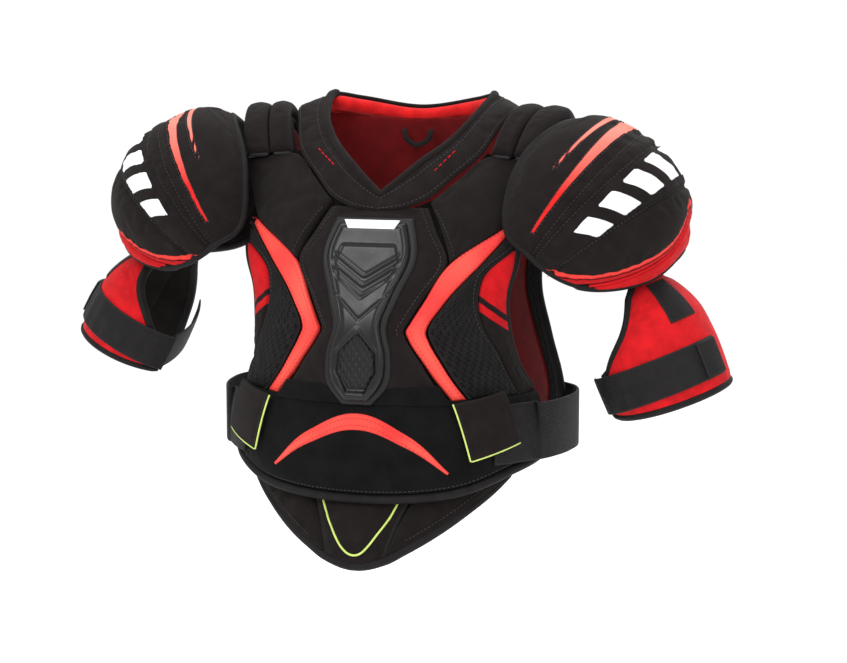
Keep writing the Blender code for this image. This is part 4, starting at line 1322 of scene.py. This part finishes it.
def make_waist_straps():
    route = spline(STRAP_ROUTE)
    for label, side in SIDES:

        def ribbon(u, v, offset):
            def bare(a, b):
                x, y = route(np.clip(a, 0, 1)).T
                z = STRAP_LOW + STRAP_WIDTH * b
                onto = np.clip((a - 0.72) / 0.2, 0, 1)[:, None]
                free = np.stack([x, y, z], -1)
                return free * (1 - onto) + FRONT(FRONT.angle_of(x, z), z, np.full(len(x), 4.0)) * onto

            along, up = bare(u + 0.01, v) - bare(u - 0.01, v), bare(u, v + 0.05) - bare(u, v - 0.05)
            out = unit(np.cross(along, up))
            out *= np.sign((out * np.array((1, 0, 0))).sum() + 1e-9)
            return (bare(u, v) + out * offset[:, None]) * (side, 1, 1)

        body = f"waist_strap_{label}"
        make_pad(body, ribbon, "webbing", -1.4, 1.4, body, "black_webbing", None, lip=1.4, spacing=4.0)
        tab_patch = coons(
            outline(FRONT, (104, -284), (140, -270)),
            outline(FRONT, (88, -230), (126, -222)),
            outline(FRONT, (104, -284), (88, -230)),
            outline(FRONT, (140, -270), (126, -222)),
        )
        place = on(FRONT, tab_patch, side)
        make_pad(f"strap_tab_{label}", place, "knit", 6.3, 10.7, body, "grey_rubber", None, lip=2.0,
                 spacing=2.5,
                 relief=lambda flat, lay, edge: -0.7 * ridge(edge, 4.5, 0.9))
        sample = np.linspace(0, 1, 40)
        zero, on_top = np.zeros(40), np.full(40, 9.4)
        inner = place(zero, sample[::-1], on_top)
        foot = place(sample, zero, on_top)
        hold(tube(f"strap_tab_piping_{label}", np.concatenate([inner, foot[1:]]), 0.9, "neon"), body,
             "edge_binding")


def make_belly():
    middle = outline(BELLY, *BELLY_MIDDLE)
    side_in = outline(BELLY, (54, -317), (38, -350), (30, -376))
    core = coons(
        spline([mirrored(middle)(1.0), (0, BELLY_FOOT), middle(1.0)]),
        straight(mirrored(middle)(0.0), middle(0.0)),
        reverse(mirrored(middle)),
        reverse(middle),
    )
    for label, side in SIDES:
        seam = trace(BELLY, [(53, -306), *BELLY_MIDDLE[1:]], side, -4.5)
        bind(f"belly_seam_{label}", seam, 3.2, "belly_pad")
    make_pad("belly_pad_core", on(BELLY, core), "knit", -FOAM, 0, "belly_pad", "charcoal_knit",
             crown=2.0, swell=2.5)
    flank = outline(BELLY, (138, -302), (92, -341), (47, -369))
    for label, side in SIDES:
        make_pad(f"belly_pad_side_{label}", on(BELLY, between(side_in, flank), side), "knit", -FOAM, 0,
                 "belly_pad",
                 "charcoal_knit", crown=2.0, swell=3.0)
    half = [(58, -306), (42, -350), (32, -374)]
    cover = between(outline(BELLY, *[(-x, z) for x, z in half]), outline(BELLY, *half))
    scrim = pad("belly_scrim", on(BELLY, cover), "knit", -FOAM + 0.2, -FOAM + 2.4, lip=1.0, spacing=5.0)
    hold(scrim, "belly_pad", "charcoal_knit")
    anchor = between(outline(BELLY, (-100, -304), (-100, -284)),
                     outline(BELLY, (100, -304), (100, -284)))
    make_pad("belly_pad_anchor", on(BELLY, anchor), "loop", -3.2, -0.8, "torso", "brushed_loop", None,
             lip=1.2, spacing=5.0)


for build in (make_chest, make_back, make_shoulders, make_collar, make_caps, make_arms,
              make_waist_straps, make_belly):
    build()
swell_pads()


# ---------------------------------------------------------------- hard pieces and sewn details


def sternum_relief(flat, lay, edge):
    """The breastbone plate's face: a raised rim, a sunk shield with three V ridges and a sunk hexagon."""
    where = np.stack([flat[:, 0], flat[:, 2]], -1)
    rise = 1.3 * ridge(edge, 4.0, 2.4)
    shield = ((-27, -83), (27, -83), (32, -98), (25, -116), (0, -134), (-25, -116), (-32, -98))
    inside = polygon_depth(where, shield)
    rise -= 2.2 * np.clip(inside / 1.6, 0, 1)
    slope = 0.62
    for tip in (-112.0, -120.5, -129.0):
        above = where[:, 1] - tip - slope * np.abs(where[:, 0])
        rise += 1.7 * ridge(above, 0, 1.7) * np.clip((inside + 3) / 3, 0, 1)
    pocket = polygon_depth(where, ((0, -163), (18, -182), (19, -200), (9, -219), (-9, -219), (-19, -200),
                                   (-18, -182)))
    rise -= 2.9 * np.clip((pocket + 0.4) / 1.4, 0, 1)
    rise += 1.1 * ridge(pocket, -2.4, 1.5)
    waist = np.abs(where[:, 1] + 152 - 0.9 * np.abs(where[:, 0]))
    return rise - 0.9 * ridge(waist, 0, 1.6)


def diamonds(flat, lay, edge):
    """Staggered pointed studs."""
    first = np.abs(np.sin(math.pi * (flat[:, 0] / 7 + flat[:, 2] / 10)))
    second = np.abs(np.sin(math.pi * (flat[:, 0] / 7 - flat[:, 2] / 10)))
    return 1.5 * np.minimum(first, second)


def spine_ribs(flat, lay, edge):
    rib = np.abs(np.sin(math.pi * (flat[:, 2] + 30) / 29))
    return (1.4 * rib**0.6 - 0.9) * np.clip(edge / 5, 0, 1) + ridge(edge, 3.5, 1.6)


def make_hard_pieces():
    edge = outline(FRONT, (33, -66), (40.5, -96), (28, -132), (20.5, -158), (26, -184), (24, -210),
                   (11, -228))
    rim = outline(FRONT, (39, -60), (47.5, -96), (34, -134), (26.5, -158), (32, -185), (30, -213),
                  (14, -232))
    make_pad("sternum_backing", on(FRONT, between(mirrored(rim), rim)), "rubber", 0.6, 5.2, "torso",
             "grey_rubber", 0.8, lip=3.5, spacing=3.0, relief=lambda flat, lay,
             edge: ridge(edge, 4.0, 2.2))
    make_pad("sternum_plate", on(FRONT, between(mirrored(edge), edge)), "shell", 4.0, 9.5, "torso",
             "moulded_shell", None, lip=2.6, spacing=1.5, relief=sternum_relief)
    window = between(
        outline(FRONT, (-2, -167), (-15, -184), (-16, -200), (-7.5, -216)),
        outline(FRONT, (2, -167), (15, -184), (16, -200), (7.5, -216)),
    )
    make_pad("sternum_insert", on(FRONT, window), "rubber", 5.2, 6.7, "torso", "grey_rubber", None,
             lip=1.5, spacing=1.0, relief=diamonds)
    top = 10.4
    badge = between(outline(FRONT, (-23, -73), (-28, -65)), outline(FRONT, (23, -73), (28, -65)))
    make_pad("sternum_badge", on(FRONT, badge), "silver", top - 1.2, top + 0.8, "torso", "silver_badge",
             None,
             lip=0.9, spacing=1.2, fine=0)
    spine = outline(BACK, (30, -30), (36, -70), (26, -110), (31, -150), (22, -190), (26, -225),
                    (12, -262))
    make_pad("spine_plate", on(BACK, between(mirrored(spine), spine)), "shell", 0.8, 5.5, "torso",
             "moulded_shell", None, lip=2.6, spacing=2.5, relief=spine_ribs)
    arch = between(
        outline(FRONT, (-86, -297), (-47, -271), (0, -256), (47, -271), (86, -297)),
        outline(FRONT, (-87.5, -295), (-47, -258), (0, -240), (47, -258), (87.5, -295)),
    )
    make_pad("belly_inlay", on(FRONT, arch), "coral", 0.6, 2.8, "torso", "coral_cloth", None,
             lip=1.4, spacing=2.5)
    line = guide_points(FRONT, HEM, 1, -FOAM / 2, 140)
    away = guide_points(FRONT, HEM, 1, 4.0, 140) - line
    bind("chest_hem", line, 4.8, "torso", "chest_hem_binding", flat=1.3, face=away)


def guide_line(surface, guide, side=1, end=1.0):
    """A guide curve on a torso surface with the way out of it."""
    base = guide_points(surface, guide, side, end=end)
    return base, guide_points(surface, guide, side, 6.0, end=end) - base


def sew(name, over, line, body, slot, look="thread", lift=0.25, **size):
    """Stitches along a line, laid on a finished piece."""
    base, way = line
    made = stitches(name, laid_on(surface_of(over), base, way, lift), way, look=look, **size)
    if made:
        hold(made, body, slot)


def lay_cord(name, over, line, radius, look, body, slot, lift=0.0, flat=1.0):
    base, way = line
    points = laid_on(surface_of(over), base, way, lift)
    hold(tube(name, points, radius, look, flat=flat, face=way), body, slot)


def make_stitching():
    for label, side in SIDES:
        inlay = PADS[f"chest_inlay_{label}"]
        for which, guide, near in (("in", CHEVRON_IN, 1.0), ("out", CHEVRON_OUT, -1.0)):
            for row, away in enumerate((1.3, 2.5)):
                line = guide_line(FRONT, shifted(guide, near * away), side)
                sew(f"inlay_stitch_{which}_{row}_{label}", inlay, line, "torso", "red_cloth",
                    "red_thread", 0.1)
        vent = PADS[f"chest_vent_pad_{label}"]
        lay_cord(f"vent_piping_{label}", vent, guide_line(FRONT, shifted(VENT_OUT, -0.6), side), 2.0,
                 "binding",
                 "torso", "edge_binding", -0.4)
        lay_cord(f"vent_inner_piping_{label}", vent, guide_line(FRONT, shifted(CHEVRON_OUT, 0.9), side),
                 1.4, "binding",
                 "torso", "edge_binding", -0.2)
        sew(f"vent_stitch_{label}", vent, guide_line(FRONT, shifted(VENT_OUT, -2.6), side), "torso",
            "edge_binding")
        sew(f"core_stitch_{label}", PADS["chest_core"],
            guide_line(FRONT, shifted(CORE_EDGE, -2.2), side, end=0.66),
            "torso", "edge_binding")
        upper = PADS[f"chest_upper_pad_{label}"]
        sew(f"upper_stitch_{label}", upper, raised(FRONT, [(82, -93), (57, -49)], side), "torso",
            "edge_binding")
        rim = guide_points(FRONT, ARMHOLE, side, -6.0)
        out = guide_points(FRONT, ARMHOLE, side, 4.0)
        bind(f"armhole_binding_{label}", rim, 4.4, "torso", flat=1.3, face=out - rim)
        side_pad = PADS[f"belly_pad_side_{label}"]
        sew(f"belly_side_stitch_{label}", side_pad,
            raised(BELLY, [(122, -306), (88, -335), (48, -361)], side),
            "belly_pad", "edge_binding")
    arch = [(-70, -280), (-45, -264), (0, -248), (45, -264), (70, -280)]
    for row, drop in enumerate((-3.4, 3.4)):
        points = [(x, z + drop) for x, z in arch]
        base = trace(FRONT, points, 1, 3.0)
        way = trace(FRONT, points, 1, 9.0) - base
        hold(stitches(f"arch_stitch_{row}", base, way, look="red_thread"), "torso", "red_cloth")
    hem = shifted(HEM, 0, 8.0)
    sew("hem_stitch", PADS["belly_panel"], guide_line(FRONT, hem), "torso", "edge_binding")
    half = [(x - BELLY_INSET, z) for x, z in BELLY_MIDDLE[:2]]
    neon = raised(BELLY, [(-x, z) for x, z in half] + [(0, BELLY_FOOT + BELLY_INSET)] + half[::-1])
    lay_cord("belly_piping", PADS["belly_pad_core"], neon, 1.05, "neon", "belly_pad", "edge_binding",
             0.3)
    half = [(136, -303), (92, -341.5), (47, -370), (28, -380)]
    base, way = raised(BELLY, [(-x, z) for x, z in half] + [(0, -386)] + half[::-1])
    bind("belly_rim_binding", base - unit(way) * 6, 4.6, "belly_pad", flat=1.3, face=way)
    around = np.linspace(0, 1, 400)
    for row, share in enumerate((0.1, 0.74)):
        base = collar_place(around, np.full(400, share), np.zeros(400))
        way = collar_place(around, np.full(400, share), np.full(400, 4.0)) - base
        sew(f"collar_stitch_{row}", PADS["collar_band"], (base, way), "torso", "edge_binding")
    for label in ("left", "right"):
        for index, ends in enumerate(GROOVES):
            points = groove_line(*ends)
            base = cap_line(label, points, 0, 160)
            sew(f"cap_stitch_{index}_{label}", PADS[f"cap_pad_{label}"],
                (base, cap_line(label, points, 4, 160) - base),
                f"cap_{label}", "edge_binding")
        for index, shape in enumerate(STRIPES):
            ring = stripe_outline(*shape)
            base = cap_line(label, ring, 0, 260)
            sew(f"cap_stripe_stitch_{index}_{label}", PADS[f"cap_pad_{label}"],
                (base, cap_line(label, ring, 4, 260) - base), f"cap_{label}", "edge_binding")


def red_thread():
    look = Look("red_sewing_thread", 0.5)
    look.add_height(look.wave(look.along, 0.7), 0.5)
    return look.finish(look.mottled((0.50, 0.02, 0.018), 0.15), 0.0002)


LOOKS["red_thread"] = red_thread()
make_hard_pieces()
make_stitching()
for piece, body, slot, nodes, padded in LATER:
    ready(piece, body, slot, *nodes, padded=padded)


# ---------------------------------------------------------------- floor, light and camera


LIGHT_AIM = -0.17  # the height in metres that the lights look at


def make_stage():
    floor_mesh = bpy.data.meshes.new("floor")
    half_width, drop = 6.0, 0.35
    z = CAD_BOX[0][2] - drop
    corners = [(x * half_width, y * half_width, z) for x, y in ((-1, -1), (1, -1), (1, 1), (-1, 1))]
    floor_mesh.from_pydata(corners, [], [(0, 1, 2, 3)])
    floor_mesh.materials.append(LOOKS["floor"])
    floor = bpy.data.objects.new("floor", floor_mesh)
    bpy.context.scene.collection.objects.link(floor)
    for name, place, size, power_w in (
        ("key_light", (-1.1, -2.3, 1.9), 1.4, 42.0),
        ("fill_light", (1.9, -2.0, 0.9), 1.4, 18.0),
        ("top_light", (0.1, 0.2, 2.3), 1.8, 34.0),
        ("rim_light", (0.6, 2.0, 1.1), 1.4, 16.0),
    ):
        data = bpy.data.lights.new(name, "AREA")
        data.size, data.energy = size, power_w
        light = bpy.data.objects.new(name, data)
        light.location = place
        aim = Vector((0, 0, LIGHT_AIM)) - Vector(place)
        light.rotation_euler = aim.to_track_quat("-Z", "Y").to_euler()
        bpy.context.scene.collection.objects.link(light)
    world = bpy.context.scene.world or bpy.data.worlds.new("studio")
    bpy.context.scene.world = world
    world.use_nodes = True
    background = world.node_tree.nodes["Background"]
    background.inputs["Color"].default_value = (1, 1, 1, 1)
    background.inputs["Strength"].default_value = 1.0


def make_camera():
    azimuth, elevation, distance = math.radians(17), math.radians(8), 2.2
    level = math.cos(elevation)
    back = Vector((math.sin(azimuth) * level, -math.cos(azimuth) * level, math.sin(elevation)))
    data = bpy.data.cameras.new("camera")
    data.sensor_width = 36
    picture_width = 847  # mm across the picture at the object's distance
    data.lens = distance * 1000 * data.sensor_width / picture_width
    data.shift_x = 18 / picture_width
    camera = bpy.data.objects.new("camera", data)
    camera.location = Vector((0.010, 0, -0.178)) + back * distance
    camera.rotation_euler = back.to_track_quat("Z", "Y").to_euler()
    bpy.context.scene.collection.objects.link(camera)
    bpy.context.scene.camera = camera
    bpy.context.scene.view_settings.view_transform = "Standard"


make_stage()
make_camera()
